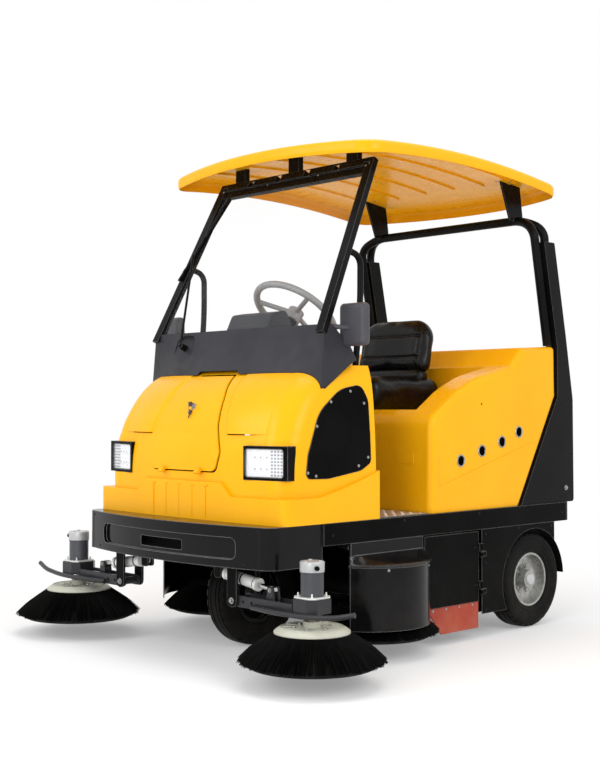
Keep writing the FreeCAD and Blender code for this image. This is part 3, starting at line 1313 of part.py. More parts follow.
def cowl():
    """Hollow cowl over the shell, with the wiper's pocket and the instrument pod."""
    inner_side = [(y, z - COWL_REAR_WALL if z > COWL_FOOT else z - FREE) for y, z in COWL_SIDE]
    void = cowl_block(MOULD, inner_side).cut(scoop(SHEET, SCOOP_DEPTH + SHEET))
    tip = COWL_HALF - COWL_TIP_RUN
    under = front_prism([(-COWL_HALF - OVER, COWL_FOOT - OVER), (COWL_HALF + OVER, COWL_FOOT - OVER),
                         (COWL_HALF + OVER, COWL_TIP), (COWL_HALF, COWL_TIP), (tip, COWL_EDGE, COWL_TIP_TURN),
                         (COWL_TAB_HALF + FREE, COWL_EDGE), (COWL_TAB_HALF - FREE, COWL_TAB),
                         (FREE - COWL_TAB_HALF, COWL_TAB), (-COWL_TAB_HALF - FREE, COWL_EDGE),
                         (-tip, COWL_EDGE, COWL_TIP_TURN), (-COWL_HALF, COWL_TIP), (-COWL_HALF - OVER, COWL_TIP)],
                        COWL_SIDE[0][0] - OVER, COWL_SIDE[2][0] - 2 * OVER)
    pod = side_prism(POD, -POD_HALF, POD_HALF)
    body = COWL_SOLID.fuse(pod).cut(void).cut(under).cut(scoop(0, SCOOP_DEPTH))
    return body.cut(SHELL_OUTER).cut(column_passage())


ROOF_MIDDLE_Y = ROOF_PROFILE[1][0]


def roof_profile(x, drop):
    """Side view of the roof's slab at one station across it."""
    crown = ROOF_CROWN * (1 - (x / ROOF_HALF) ** 2) - drop
    front, middle, rear = [V(x, y, z + crown) for y, z in ROOF_PROFILE]
    rim = V(0, 0, -ROOF_RIM)
    return Part.Wire([arc(front, middle, rear), line(rear, rear + rim), arc(rear + rim, middle + rim, front + rim),
                      line(front + rim, front)])


def roof_block(drop):
    return Part.makeLoft([roof_profile(ROOF_HALF * share, drop) for share in ROOF_STATIONS], True, False)


def roof_plan(inset):
    """Upright prism of the roof's outline, bowed in front and behind, with round corners."""
    half = ROOF_HALF - inset
    front = V(half, ROOF_FRONT_SIDE + inset, ROOF_BASE)
    rear = V(half, ROOF_REAR_SIDE - inset, ROOF_BASE)
    edges = [line(front, rear), arc(rear, V(0, ROOF_REAR - inset, ROOF_BASE), flipped(rear)),
             line(flipped(rear), flipped(front)),
             arc(flipped(front), V(0, ROOF_FRONT + inset, ROOF_BASE), front)]
    prism = Part.Face(Part.Wire(edges)).extrude(V(0, 0, FAR / 4))
    upright = [edge for edge in prism.Edges if edge.BoundBox.ZLength > FREE and edge.BoundBox.XLength < OVER
               and edge.BoundBox.YLength < OVER]
    return prism.makeFillet(ROOF_CORNER - inset, upright)


def soft_top(block, radius):
    """Round the upper edge of the roof's slab."""
    rim = [edge for edge in block.Edges
           if edge.BoundBox.ZMin > ROOF_PROFILE[2][1] - ROOF_RIM / 4 and edge.BoundBox.DiagonalLength > ROOF_CORNER
           and is_rim_top(edge)]
    return block.makeFillet(radius, rim)


def is_rim_top(edge):
    """Tell the upper rim edges from the lower ones by their height over the profile."""
    middle = edge.valueAt((edge.FirstParameter + edge.LastParameter) / 2)
    share = (middle.y - ROOF_MIDDLE_Y) / (ROOF_PROFILE[2][0] - ROOF_MIDDLE_Y)
    fall = (ROOF_PROFILE[1][1] - ROOF_PROFILE[2][1]) * share ** 2
    return middle.z > ROOF_PROFILE[1][1] - fall - ROOF_RIM / 2


ROOF_OUTER = soft_top(roof_block(0).common(roof_plan(0)), ROOF_EDGE)
ROOF_UNDER = soft_top(roof_block(MOULD).common(roof_plan(MOULD)), ROOF_EDGE - MOULD)


def roof_void():
    """The open space under the roof's skin, down to well below its rim."""
    low = ROOF_UNDER
    plan = roof_plan(MOULD)
    for step in (1, 2, 3, 4):
        low = low.fuse(roof_block(MOULD + step * (ROOF_RIM - MOULD)).common(plan))
    return low


ROOF_VOID = roof_void()


def roof():
    """Crowned canopy with a soft rim and ribs along its underside."""
    skin = ROOF_OUTER.cut(ROOF_UNDER)
    deeper = roof_block(MOULD + ROOF_RIB_DEPTH)
    band = ROOF_UNDER.cut(deeper)
    room = ROOF_CORNER
    ribs = []
    for x in ROOF_RIBS:
        ribs.append(band.common(box(x - ROOF_RIB_HALF, x + ROOF_RIB_HALF, ROOF_FRONT_SIDE + room,
                                    ROOF_REAR_SIDE - room, ROOF_BASE, FAR)))
    return fused([skin] + ribs)


def windscreen_frame():
    outer = screen_block(0, -PILLAR_FOOT, SCREEN_LENGTH, -PILLAR_DEPTH, 0)
    inner = screen_block(PILLAR_WIDTH, -PILLAR_FOOT - FREE, SCREEN_LENGTH - HEADER_WIDTH, -PILLAR_DEPTH - OVER, OVER)
    step = screen_block(PILLAR_WIDTH, SCREEN_LENGTH - HEADER_WIDTH - OVER, SCREEN_LENGTH - HEADER_STEP,
                        -HEADER_STEP_DEPTH, OVER)
    frame = on_screen(outer.cut(inner).cut(step))
    pads = [box(x - PAD_HALF, x + PAD_HALF, SCREEN_HEAD_Y, SCREEN_HEAD_Y + PILLAR_DEPTH, SCREEN_HEAD_Z - PAD_HALF, FAR)
            for x in PAD_PLACES]
    ribs = fused([box(x - ROOF_RIB_HALF - GAP, x + ROOF_RIB_HALF + GAP, ROOF_FRONT, ROOF_REAR, ROOF_BASE, FAR)
                  for x in ROOF_RIBS])
    room = ROOF_VOID.cut(ribs.cut(roof_block(MOULD + ROOF_RIB_DEPTH)))
    pads = [pad.common(room) for pad in pads]
    below = box(-FAR, FAR, -FAR, FAR, 0, SCREEN_HEAD_Z - PAD_HALF)
    return fused([frame.common(room.fuse(below))] + pads).cut(COWL_SOLID)


FRAME = windscreen_frame()


def windscreen_glass():
    top = SCREEN_LENGTH - HEADER_WIDTH - GAP
    pane = screen_block(PILLAR_WIDTH + GAP, 0, top, -GLASS_DEPTH, GLASS_THICK - GLASS_DEPTH)
    return on_screen(pane).cut(COWL_SOLID)


def wiper():
    """Arm from the pivot to a blade that rests beside the pillar."""
    low, high = [V(x, up, WIPER_PROUD) for x, up in WIPER_BLADE]
    join = low + (high - low) * WIPER_JOIN + V(0, 0, WIPER_ARM_RADIUS)
    boss = Part.makeCylinder(WIPER_BOSS, WIPER_PROUD + SCOOP_DEPTH, V(WIPER_X, WIPER_UP, GAP - SCOOP_DEPTH), Z_AXIS)
    pieces = [bar(low, high, WIPER_ARM_RADIUS), bar(V(WIPER_X, WIPER_UP, WIPER_PROUD), join, WIPER_ARM_RADIUS), boss]
    return on_screen(fused(pieces))


# Steering column and wheel
def steering_column():
    top = STEER_HUB - STEER_AXIS * (STEER_BOSS_DROP + GAP)
    column = bar(STEER_HUB - STEER_AXIS * COLUMN_LENGTH, top, COLUMN_RADIUS)
    foot = STEER_HUB - STEER_AXIS * (COLUMN_LENGTH - COLUMN_RADIUS)
    post = box(-COLUMN_FOOT_HALF, COLUMN_FOOT_HALF, foot.y - COLUMN_FOOT_HALF, foot.y + COLUMN_FOOT_HALF, DECK_TOP,
               foot.z + COLUMN_RADIUS)
    return column.fuse(post)


def steering_wheel():
    middle = STEER_RADIUS - STEER_GRIP
    ring = Part.makeTorus(middle, STEER_GRIP, STEER_HUB, STEER_AXIS)
    boss = Part.makeCylinder(STEER_BOSS, STEER_BOSS_DROP + STEER_BOSS_RISE,
                             STEER_HUB - STEER_AXIS * STEER_BOSS_DROP, STEER_AXIS)
    pieces = [ring, boss]
    for turn in SPOKE_TURNS:
        out = FreeCAD.Rotation(STEER_AXIS, turn).multVec(X_AXIS)
        pieces.append(bar(STEER_HUB, STEER_HUB + out * middle, STEER_SPOKE))
    return fused(pieces)


def mirror():
    housing = box(*MIRROR_X, *MIRROR_Y, *MIRROR_Z)
    housing = housing.makeFillet(MIRROR_CORNER, housing.Edges)
    pieces = [housing, bar(*MIRROR_ARM, MIRROR_ARM_RADIUS), bar(*MIRROR_PLATE, MIRROR_ARM_RADIUS)]
    return fused(pieces).cut(FRAME).cut(COWL_SOLID)


def grab_rail():
    return tube(RAIL_PATH, RAIL_BAR).cut(FRAME).cut(SHELL_OUTER).cut(COWL_SOLID)


# Rear body
def body_block(inset):
    """Solid of the rear body with soft upper and front edges."""
    outline = side_prism(BODY_OUTLINE, 0, 1).Faces
    wall = [face for face in outline if face.BoundBox.XLength < OVER / 2][0]
    if inset:
        wall = Part.Face(wall.OuterWire.makeOffset2D(-inset))
    wall.translate(V(inset - BODY_HALF - wall.BoundBox.XMin, 0, 0))
    solid = wall.extrude(V(2 * (BODY_HALF - inset), 0, 0))
    soft = []
    for edge in solid.Edges:
        middle = edge.CenterOfMass
        if edge.BoundBox.XLength > OVER or middle.z < DECK_TOP + BODY_EDGE:
            continue
        if middle.y < BODY_OUTLINE[5][0] and middle.z > BODY_OUTLINE[0][1] + BODY_EDGE:
            soft.append(edge)
    return solid.makeFillet(BODY_EDGE - inset, soft)


def rear_body():
    """Hollow rear body with the seat's bay, the vents and the hopper's way."""
    outer = body_block(0)
    void = body_block(MOULD)
    void = void.fuse(void.translated(V(0, 0, -2 * MOULD)))
    bay = box(-SEAT_BAY_HALF, SEAT_BAY_HALF, 0, SEAT_BAY_REAR, SEAT_BAY_FLOOR, FAR)
    shell = outer.cut(void)
    lining = box(-SEAT_BAY_HALF - MOULD, SEAT_BAY_HALF + MOULD, 0, SEAT_BAY_REAR + MOULD, SEAT_BAY_FLOOR - MOULD, FAR)
    body = shell.fuse(outer.common(lining)).cut(bay)
    half = HOPPER_HALF + RUNNER + FREE
    body = body.cut(box(-half, half, HOPPER_FRONT - FREE, DECK_REAR, FASCIA_BOTTOM, HOPPER_TOP + FREE))
    for y, z in VENTS:
        body = body.cut(shaft_x(VENT_RADIUS, -FAR / 2, FAR / 2, y, z))
    body = body.cut(shaft_x(KEYHOLE_RADIUS, 0, BODY_HALF + OVER, *KEYHOLE))
    floor = BODY_HALF - CREASE_DEPTH
    for (y0, z0), (y1, z1) in zip(CREASE, CREASE[1:]):
        run = V(0, y1 - y0, z1 - z0)
        groove = Part.makeCylinder(CREASE_WIDTH / 2, run.Length, V(floor + CREASE_WIDTH / 2, y0, z0), run)
        body = body.cut(groove).cut(mirrored(groove))
    plate = box(PLATE_X - PLATE_HALF_WIDTH, PLATE_X + PLATE_HALF_WIDTH, BODY_FRONT - FREE, BODY_FRONT + FREE,
                PLATE_LOW, PLATE_HIGH)
    raised = plate.common(outer.translated(V(0, -CREASE_DEPTH, 0))).cut(outer)
    return fused([body, raised])


# Seat, battery and hopper
def seat_cushion():
    pad = box(-SEAT_HALF, SEAT_HALF, SEAT_FRONT, SEAT_BACK_Y + SEAT_BEHIND, SEAT_BAY_FLOOR + GAP, CUSHION_TOP)
    return pad.makeFillet(CUSHION_ROUND, [edge for edge in pad.Edges if edge.CenterOfMass.z > CUSHION_TOP - FREE])


def seat_backrest():
    half = SEAT_HALF - BACK_NARROW
    height = SEAT_TOP - CUSHION_TOP - BACK_LOSS
    pad = box(-half, half, -BACK_THICK, 0, 0, height)
    pad = pad.makeFillet(BACK_ROUND, [edge for edge in pad.Edges if edge.CenterOfMass.z > height - BACK_ROUND])
    pad.rotate(V(), X_AXIS, -BACK_LEAN)
    pad.translate(V(0, SEAT_BACK_Y, CUSHION_TOP + GAP))
    return pad


def battery():
    return box(-BATTERY_HALF, BATTERY_HALF, BATTERY_FRONT, BATTERY_REAR, DECK_TOP, BATTERY_TOP)


def hopper():
    """Open box on runners, with its mouth in front and a handle behind."""
    outer = box(-HOPPER_HALF, HOPPER_HALF, HOPPER_FRONT, HOPPER_REAR, HOPPER_BOTTOM, HOPPER_TOP)
    inner = box(SHEET - HOPPER_HALF, HOPPER_HALF - SHEET, HOPPER_FRONT + SHEET, HOPPER_REAR - SHEET,
                HOPPER_BOTTOM + SHEET, HOPPER_TOP + OVER)
    mouth_half = HOPPER_HALF - HOPPER_MOUTH_INSET
    mouth = box(-mouth_half, mouth_half, HOPPER_FRONT - OVER, HOPPER_FRONT + SHEET + OVER,
                HOPPER_BOTTOM + HOPPER_MOUTH_LOW, HOPPER_BOTTOM + HOPPER_MOUTH_HIGH)
    runner = box(HOPPER_HALF, HOPPER_HALF + RUNNER, HOPPER_FRONT + HOPPER_MOUTH_LOW, HOPPER_REAR, DECK_TOP + GAP,
                 DECK_TOP + RUNNER_THICK)
    back = HOPPER_REAR - SHEET / 2
    out = HOPPER_REAR + HANDLE_OUT
    grip = tube([V(-HANDLE_HALF, back, HANDLE_Z), V(-HANDLE_HALF, out, HANDLE_Z), V(HANDLE_HALF, out, HANDLE_Z),
                 V(HANDLE_HALF, back, HANDLE_Z)], HANDLE_RADIUS)
    return fused([outer.cut(inner).cut(mouth), runner, mirrored(runner), grip])


# Rear posts and hoop
def post_block(x0, x1, inset):
    wall = [face for face in side_prism(POST_OUTLINE, 0, 1).Faces if face.BoundBox.XLength < OVER / 2][0]
    if inset:
        wall = Part.Face(wall.OuterWire.makeOffset2D(-inset))
    wall.translate(V(x0 - wall.BoundBox.XMin, 0, 0))
    return wall.extrude(V(x1 - x0, 0, 0))


def rear_tube():
    """Tube that leaves the post's top and bends to the hoop's crossbar."""
    points = [V(TUBE_X, REAR_TUBE_Y, POST_OUTLINE[4][1] - REAR_TUBE_SUNK),
              V(TUBE_X, REAR_TUBE_Y, HOOP_SHOULDER + FREE), V(TUBE_X - HOOP_TURN_X, HOOP_Y, HOOP_Z),
              V(BRACKET_X - HOOP_TURN_X, HOOP_Y, HOOP_Z)]
    return tube(points, HOOP_TUBE)


def front_tube():
    """Tube in front of the post, from the rear body up to the middle of the crossbar."""
    foot_y, foot_z = FRONT_TUBE_FOOT
    points = [V(TUBE_X - FREE, foot_y, foot_z), V(TUBE_X - FREE, FRONT_TUBE_Y, HOOP_SHOULDER),
              V(TUBE_X - HOOP_TURN_X, HOOP_Y, HOOP_Z), V(0, HOOP_Y, HOOP_Z)]
    return tube(points, HOOP_TUBE)


def upright():
    """Folded cover over the hoop's rear tube, open inside."""
    solid = post_block(POST_INNER, POST_X, 0)
    hollow = post_block(POST_INNER + SHEET, POST_X - SHEET, SHEET)
    hollow = hollow.fuse(hollow.translated(V(0, 0, -2 * SHEET)))
    low = box(POST_INNER - OVER, POST_INNER + SHEET + OVER, 0, FAR, 0, BODY_OUTLINE[6][1])
    solid = solid.cut(hollow)
    mouth = post_block(POST_INNER - OVER, POST_INNER + SHEET + OVER, SHEET).common(low)
    bores = rear_tube().fuse(front_tube())
    return solid.cut(mouth).cut(bores).cut(body_block(0))


def roof_bracket():
    """Plate from the hoop up into the roof."""
    outline = [(y, HOOP_Z + z) for y, z in BRACKET]
    plate = side_prism(outline, BRACKET_X - BRACKET_PLATE / 2, BRACKET_X + BRACKET_PLATE / 2)
    return plate.common(ROOF_VOID)


def rear_hoop():
    half = front_tube().fuse([rear_tube(), roof_bracket()])
    half = half.cut(body_block(0))
    return fused([half, mirrored(half)])


save("deck", deck())
save("chassis_frame", pair(rail()))
save("cross_members", cross_members())
save("brush_lugs", brush_lugs())
save("front_fork", front_fork())
front_centre = V(0, FRONT_WHEEL_Y, WHEEL_RADIUS)
save("front_tyre", tyre(front_centre))
save("front_rim", rim(front_centre, FRONT_AXLE_RADIUS + RUN, FRONT_HUB_HALF))
rear_centre = V(REAR_TRACK_INNER + TYRE_WIDTH / 2, REAR_WHEEL_Y, WHEEL_RADIUS)
save_sides("rear_tyre", tyre(rear_centre))
save_sides("rear_rim", rim(rear_centre, REAR_AXLE_RADIUS + RUN, REAR_HUB_HALF))
save("rear_axle", rear_axle())
save_sides("brush_arm", brush_arm())
save_sides("brush_motor", brush_motor())
save_sides("actuator_body", actuator_body())
save_sides("actuator_rod", actuator_rod())
save_sides("front_brush_disc", brush_disc(BRUSH_X, BRUSH_Y, GEARBOX_TOP - FREE))
save_sides("front_bristles", bristles(BRUSH_X, BRUSH_Y))
save_sides("mid_brush_mount", mid_brush_mount())
save_sides("mid_brush", brush_disc(MID_X, MID_Y, GEARBOX_BOTTOM + HUB_RISE).fuse(bristles(MID_X, MID_Y)))
save("brush_shrouds", pair(shroud()))
save("main_roller", roller())
save("roller_housing", roller_housing())
save_sides("side_door", side_door())
save_sides("door_flap", door_flap())
save("wheel_arches", pair(wheel_arch()))
save("front_bumper", front_bumper())
save("front_shell", front_shell())
save("access_door", access_door())
save("side_panels", pair(side_panel()))
bezel, lens = headlamp()
save("headlamp_bezels", pair(bezel))
save("headlamp_lenses", pair(lens))
save("windscreen_frame", FRAME)
save("windscreen_glass", windscreen_glass())
save("wiper", wiper())
save("cowl", cowl())
save("steering_column", steering_column())
save("steering_wheel", steering_wheel())
save("mirrors", pair(mirror()))
save("grab_rails", pair(grab_rail()))
save("rear_body", rear_body())
save("seat_cushion", seat_cushion())
save("seat_backrest", seat_backrest())
save("battery", battery())
save("hopper", hopper())
save("uprights", pair(upright()))
save("rear_hoop", rear_hoop())
save("roof", roof())
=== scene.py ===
import logging
import math
import random
from dataclasses import dataclass, field
from enum import Enum

import bmesh
import bpy
from mathutils import Matrix, Vector
from mathutils.bvhtree import BVHTree


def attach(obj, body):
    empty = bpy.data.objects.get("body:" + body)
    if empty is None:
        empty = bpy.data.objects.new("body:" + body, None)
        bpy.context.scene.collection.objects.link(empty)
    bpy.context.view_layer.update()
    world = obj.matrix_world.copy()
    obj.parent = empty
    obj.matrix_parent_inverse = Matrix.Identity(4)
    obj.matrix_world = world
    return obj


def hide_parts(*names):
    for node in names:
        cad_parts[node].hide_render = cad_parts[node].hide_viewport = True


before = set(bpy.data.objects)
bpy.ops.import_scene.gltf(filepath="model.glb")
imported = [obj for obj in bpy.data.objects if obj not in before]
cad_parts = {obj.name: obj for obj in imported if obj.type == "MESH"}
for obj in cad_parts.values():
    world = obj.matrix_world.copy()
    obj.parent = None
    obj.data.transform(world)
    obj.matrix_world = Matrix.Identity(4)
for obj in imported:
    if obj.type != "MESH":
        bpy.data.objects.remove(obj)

LOG = logging.getLogger("sweeper")
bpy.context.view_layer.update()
SIDES = (("left", 1.0), ("right", -1.0))
MM = 0.001
SHARP = math.radians(34.0)
FULL_TURN = 2.0 * math.pi
UP = Vector((0.0, 0.0, 1.0))
REAR = Vector((0.0, 1.0, 0.0))
LEFT = Vector((1.0, 0.0, 0.0))
NO_SHIFT = (0, 0, 0)
WHITE = (1, 1, 1, 1)

Colour = tuple[float, float, float]
Point = tuple[float, float, float]
Spot = tuple[float, float]


class Grain(Enum):
    """The fine relief of a surface."""

    NONE = "none"
    PEBBLE = "pebble"
    BRUSHED = "brushed"
    LEATHER = "leather"
    SPANGLE = "spangle"


class Graph:
    """Adds and joins the nodes of one shader tree."""

    def __init__(self, tree: bpy.types.NodeTree) -> None:
        """Keep the tree that is being wired."""
        self.tree = tree

    def add(self, kind: str, sockets: dict | None = None, **settings: object) -> bpy.types.Node:
        """Add one node.

        Args:
            kind: the node's type without its ShaderNode prefix.
            sockets: input name or number to a constant, or to an output that is linked.
            settings: the node's own properties.

        Returns:
            The new node.
        """
        node = self.tree.nodes.new("ShaderNode" + kind)
        for name, value in settings.items():
            setattr(node, name, value)
        for name, value in (sockets or {}).items():
            self.plug(node, name, value)
        return node

    def plug(self, node: bpy.types.Node, name: str | int, value: object) -> None:
        """Give one input a constant or a link.

        Args:
            node: the node that has the input.
            name: the input's name or number.
            value: a constant, or an output that is linked.
        """
        if isinstance(value, bpy.types.NodeSocket):
            self.tree.links.new(value, node.inputs[name])
        else:
            node.inputs[name].default_value = value

    def effect(self, tree: bpy.types.NodeTree, **values: object) -> bpy.types.Node:
        """Place a shared node group.

        Args:
            tree: the group.
            values: input name to a constant, or to an output that is linked.

        Returns:
            The group's node.
        """
        node = self.add("Group")
        node.node_tree = tree
        for name, value in values.items():
            self.plug(node, name, value)
        return node

    def math(self, operation: str, *values: object) -> bpy.types.NodeSocket:
        """Add a Math node and return its result."""
        node = self.add("Math", dict(enumerate(values)), operation=operation)
        return node.outputs[0]

    def ramp(self, value: object, low: float, high: float, to_low: object, to_high: object) -> bpy.types.NodeSocket:
        """Map a value smoothly from one range to another and return it."""
        node = self.add("MapRange", {"Value": value, "From Min": low, "From Max": high, "To Min": to_low,
                                     "To Max": to_high}, interpolation_type="SMOOTHSTEP")
        return node.outputs[0]

    def blend(self, share: object, first: object, second: object) -> bpy.types.NodeSocket:
        """Mix two colours and return the result."""
        node = self.add("Mix", {0: share, 6: first, 7: second}, data_type="RGBA")
        return node.outputs[2]


class Effects:
    """Node groups that several finishes share."""

    CLOUD_BAND = (0.3, 0.7)
    FLAT_COSINE = 0.995
    ROUND_COSINE = 0.93
    PATCHES = {"Scale": 38.0, "Detail": 6.0, "Roughness": 0.7}
    PATCH_BAND = (0.52, 0.68)
    DUST_CLOUD = {"Scale": 11.0, "Detail": 7.0, "Roughness": 0.62}
    DUST_BAND = (0.35, 0.72)
    DUST_ON_TOP = 0.3
    LOOKS_UP = 0.5

    def __init__(self) -> None:
        """Build every group once."""
        self.uneven = self._uneven()
        self.edges = self._edges()
        self.dust = self._dust()

    @staticmethod
    def _start(name: str, inputs: dict[str, float], outputs: dict[str, str]) -> tuple[Graph, object, object]:
        """Make an empty group.

        Args:
            name: the group's name.
            inputs: name and first value of each number that goes in.
            outputs: name and socket type of each result.

        Returns:
            The graph, its input node and its output node.
        """
        tree = bpy.data.node_groups.new(name, "ShaderNodeTree")
        for title, value in inputs.items():
            tree.interface.new_socket(title, in_out="INPUT", socket_type="NodeSocketFloat").default_value = value
        for title, kind in outputs.items():
            tree.interface.new_socket(title, in_out="OUTPUT", socket_type=kind)
        graph = Graph(tree)
        return graph, tree.nodes.new("NodeGroupInput"), tree.nodes.new("NodeGroupOutput")

    def _uneven(self) -> bpy.types.NodeTree:
        """Build the cloudy value between Low and High.

        Returns:
            The group.
        """
        graph, start, end = self._start("uneven tone", {"Scale": 5.0, "Low": 0.0, "High": 1.0},
                                        {"Value": "NodeSocketFloat"})
        place = graph.add("TexCoord").outputs["Object"]
        cloud = graph.add("TexNoise", {"Vector": place, "Scale": start.outputs["Scale"], "Detail": 4.0})
        graph.plug(end, "Value", graph.ramp(cloud.outputs[0], *self.CLOUD_BAND, start.outputs["Low"],
                                            start.outputs["High"]))
        return graph.tree

    def _edges(self) -> bpy.types.NodeTree:
        """Build the rounded normal at hard edges and the mask of the rubbed edges with their painted highlight.

        Returns:
            The group. The least of the mask along an edge is a painted highlight line, and its most is rubbed wear
            together with that painted highlight.
        """
        graph, start, end = self._start("rubbed edges and painted highlight", {"Radius": 0.002, "Wear": 0.5, "Even": 0.0},
                                        {"Normal": "NodeSocketVector", "Mask": "NodeSocketFloat"})
        rounded = graph.add("Bevel", {"Radius": start.outputs["Radius"]}, samples=4).outputs[0]
        flat = graph.add("NewGeometry").outputs["Normal"]
        turn = graph.add("VectorMath", {0: rounded, 1: flat}, operation="DOT_PRODUCT").outputs["Value"]
        edge = graph.ramp(turn, self.FLAT_COSINE, self.ROUND_COSINE, 0.0, 1.0)
        place = graph.add("TexCoord").outputs["Object"]
        patches = graph.add("TexNoise", {"Vector": place, **self.PATCHES})
        # Patches of rubbed wear over an even floor; the floor paints a light highlight line all along the edge.
        rubbing_and_highlight = graph.ramp(patches.outputs[0], *self.PATCH_BAND, start.outputs["Even"], start.outputs["Wear"])
        graph.plug(end, "Normal", rounded)
        graph.plug(end, "Mask", graph.math("MULTIPLY", edge, rubbing_and_highlight))
        return graph.tree

    def _dust(self) -> bpy.types.NodeTree:
        """Build the mask of road dust, thicker near the ground and on faces that look up.

        Returns:
            The group.
        """
        graph, start, end = self._start("road dust", {"Reach": 0.5, "Amount": 0.2}, {"Mask": "NodeSocketFloat"})
        place = graph.add("TexCoord").outputs["Object"]
        height = graph.add("SeparateXYZ", {0: place}).outputs[2]
        low = graph.math("SUBTRACT", 1.0, graph.math("DIVIDE", height, start.outputs["Reach"]))
        up = graph.add("SeparateXYZ", {0: graph.add("NewGeometry").outputs["Normal"]}).outputs[2]
        top = graph.ramp(up, self.LOOKS_UP, 1.0, 0.0, self.DUST_ON_TOP)
        share = graph.math("ADD", graph.math("MAXIMUM", low, 0.0), top)
        cloud = graph.add("TexNoise", {"Vector": place, **self.DUST_CLOUD})
        patch = graph.ramp(cloud.outputs[0], *self.DUST_BAND, 0.0, start.outputs["Amount"])
        graph.plug(end, "Mask", graph.math("MULTIPLY", share, patch))
        return graph.tree


EFFECTS = Effects()


def new_material(name: str) -> tuple[bpy.types.Material, Graph, bpy.types.Node]:
    """Make an undressed material.

    Args:
        name: its name.

    Returns:
        The material, its graph and its shader.
    """
    material = bpy.data.materials.new(name)
    material.use_nodes = True
    return material, Graph(material.node_tree), material.node_tree.nodes["Principled BSDF"]


@dataclass(frozen=True)
class Finish:
    """A surface finish: two tones, gloss, relief, rubbed edges with a painted edge highlight, and dust."""

    name: str
    colour: Colour
    shade: Colour
    rough: tuple[float, float] = (0.3, 0.4)
    metallic: float = 0.0
    coat: float = 0.0
    specular: float = 0.5
    grain: Grain = Grain.PEBBLE
    grain_scale: float = 900.0
    grain_depth: float = 0.00005
    edge: float = 0.002
    # The next three set the rubbed edges; on the black finishes they also paint a light highlight line along every
    # edge.
    bare_and_highlight: Colour = (0.3, 0.3, 0.3)
    edge_wear_and_highlight: float = 0.0
    even_edge_highlight: float = 0.0
    dust: float = 0.0
    dust_reach: float = 0.5
    dust_colour: Colour = (0.36, 0.31, 0.25)
    tone_scale: float = 4.0
    gloss_scale: float = 23.0
    spangle_share: float = 0.55
    brush_stretch: float = 0.03
    dust_dulls: float = 0.4
    coat_rough: float = 0.06

    def _relief(self, graph: Graph, place: bpy.types.NodeSocket) -> bpy.types.NodeSocket | None:
        """Add the fine relief.

        Args:
            graph: the material's graph.
            place: the coordinates that it follows.

        Returns:
            Its height, or None where the surface is smooth.
        """
        if self.grain is Grain.NONE:
            return None
        if self.grain in (Grain.LEATHER, Grain.SPANGLE):
            cells = graph.add("TexVoronoi", {"Vector": place, "Scale": self.grain_scale}, feature="SMOOTH_F1")
            return cells.outputs["Distance"]
        if self.grain is Grain.BRUSHED:
            place = graph.add("Mapping", {"Vector": place, "Scale": (1.0, 1.0, self.brush_stretch)}).outputs[0]
        return graph.add("TexNoise", {"Vector": place, "Scale": self.grain_scale, "Detail": 3.0}).outputs[0]

    def _tones(self, graph: Graph, place: bpy.types.NodeSocket) -> bpy.types.NodeSocket:
        """Add the clean surface's colour.

        Args:
            graph: the material's graph.
            place: the coordinates that it follows.

        Returns:
            The colour.
        """
        tone = graph.effect(EFFECTS.uneven, Scale=self.tone_scale).outputs["Value"]
        colour = graph.blend(tone, (*self.colour, 1.0), (*self.shade, 1.0))
        if self.grain is Grain.SPANGLE:
            cells = graph.add("TexVoronoi", {"Vector": place, "Scale": self.grain_scale})
            light = graph.add("SeparateColor", {0: cells.outputs["Color"]}).outputs[0]
            share = graph.ramp(light, 0.0, 1.0, 0.0, self.spangle_share)
            colour = graph.blend(share, colour, (*self.bare_and_highlight, 1.0))
        return colour

    def build(self) -> bpy.types.Material:
        """Build the material.

        Returns:
            The material, made once for each finish.
        """
        known = bpy.data.materials.get(self.name)
        if known is not None:
            return known
        material, graph, shader = new_material(self.name)
        place = graph.add("TexCoord").outputs["Object"]
        low, high = self.rough
        gloss = graph.effect(EFFECTS.uneven, Scale=self.gloss_scale, Low=low, High=high).outputs["Value"]
        colour = self._tones(graph, place)
        edges = graph.effect(EFFECTS.edges, Radius=self.edge, Wear=self.edge_wear_and_highlight, Even=self.even_edge_highlight)
        # Rubbed edges, and on the black finishes a painted highlight line along every edge, take the bright edge
        # colour.
        if self.edge_wear_and_highlight > 0:
            colour = graph.blend(edges.outputs["Mask"], colour, (*self.bare_and_highlight, 1.0))
        if self.dust > 0:
            mask = graph.effect(EFFECTS.dust, Reach=self.dust_reach, Amount=self.dust).outputs["Mask"]
            colour = graph.blend(mask, colour, (*self.dust_colour, 1.0))
            gloss = graph.math("ADD", gloss, graph.math("MULTIPLY", mask, self.dust_dulls))
        graph.plug(shader, "Base Color", colour)
        graph.plug(shader, "Roughness", gloss)
        graph.plug(shader, "Metallic", self.metallic)
        graph.plug(shader, "Specular IOR Level", self.specular)
        graph.plug(shader, "Coat Weight", self.coat)
        graph.plug(shader, "Coat Roughness", self.coat_rough)
        normal = edges.outputs["Normal"]
        relief = self._relief(graph, place)
        if relief is not None:
            bump = graph.add("Bump", {"Distance": self.grain_depth, "Strength": 1.0, "Height": relief,
                                      "Normal": normal})
            normal = bump.outputs[0]
        graph.plug(shader, "Normal", normal)
        return material


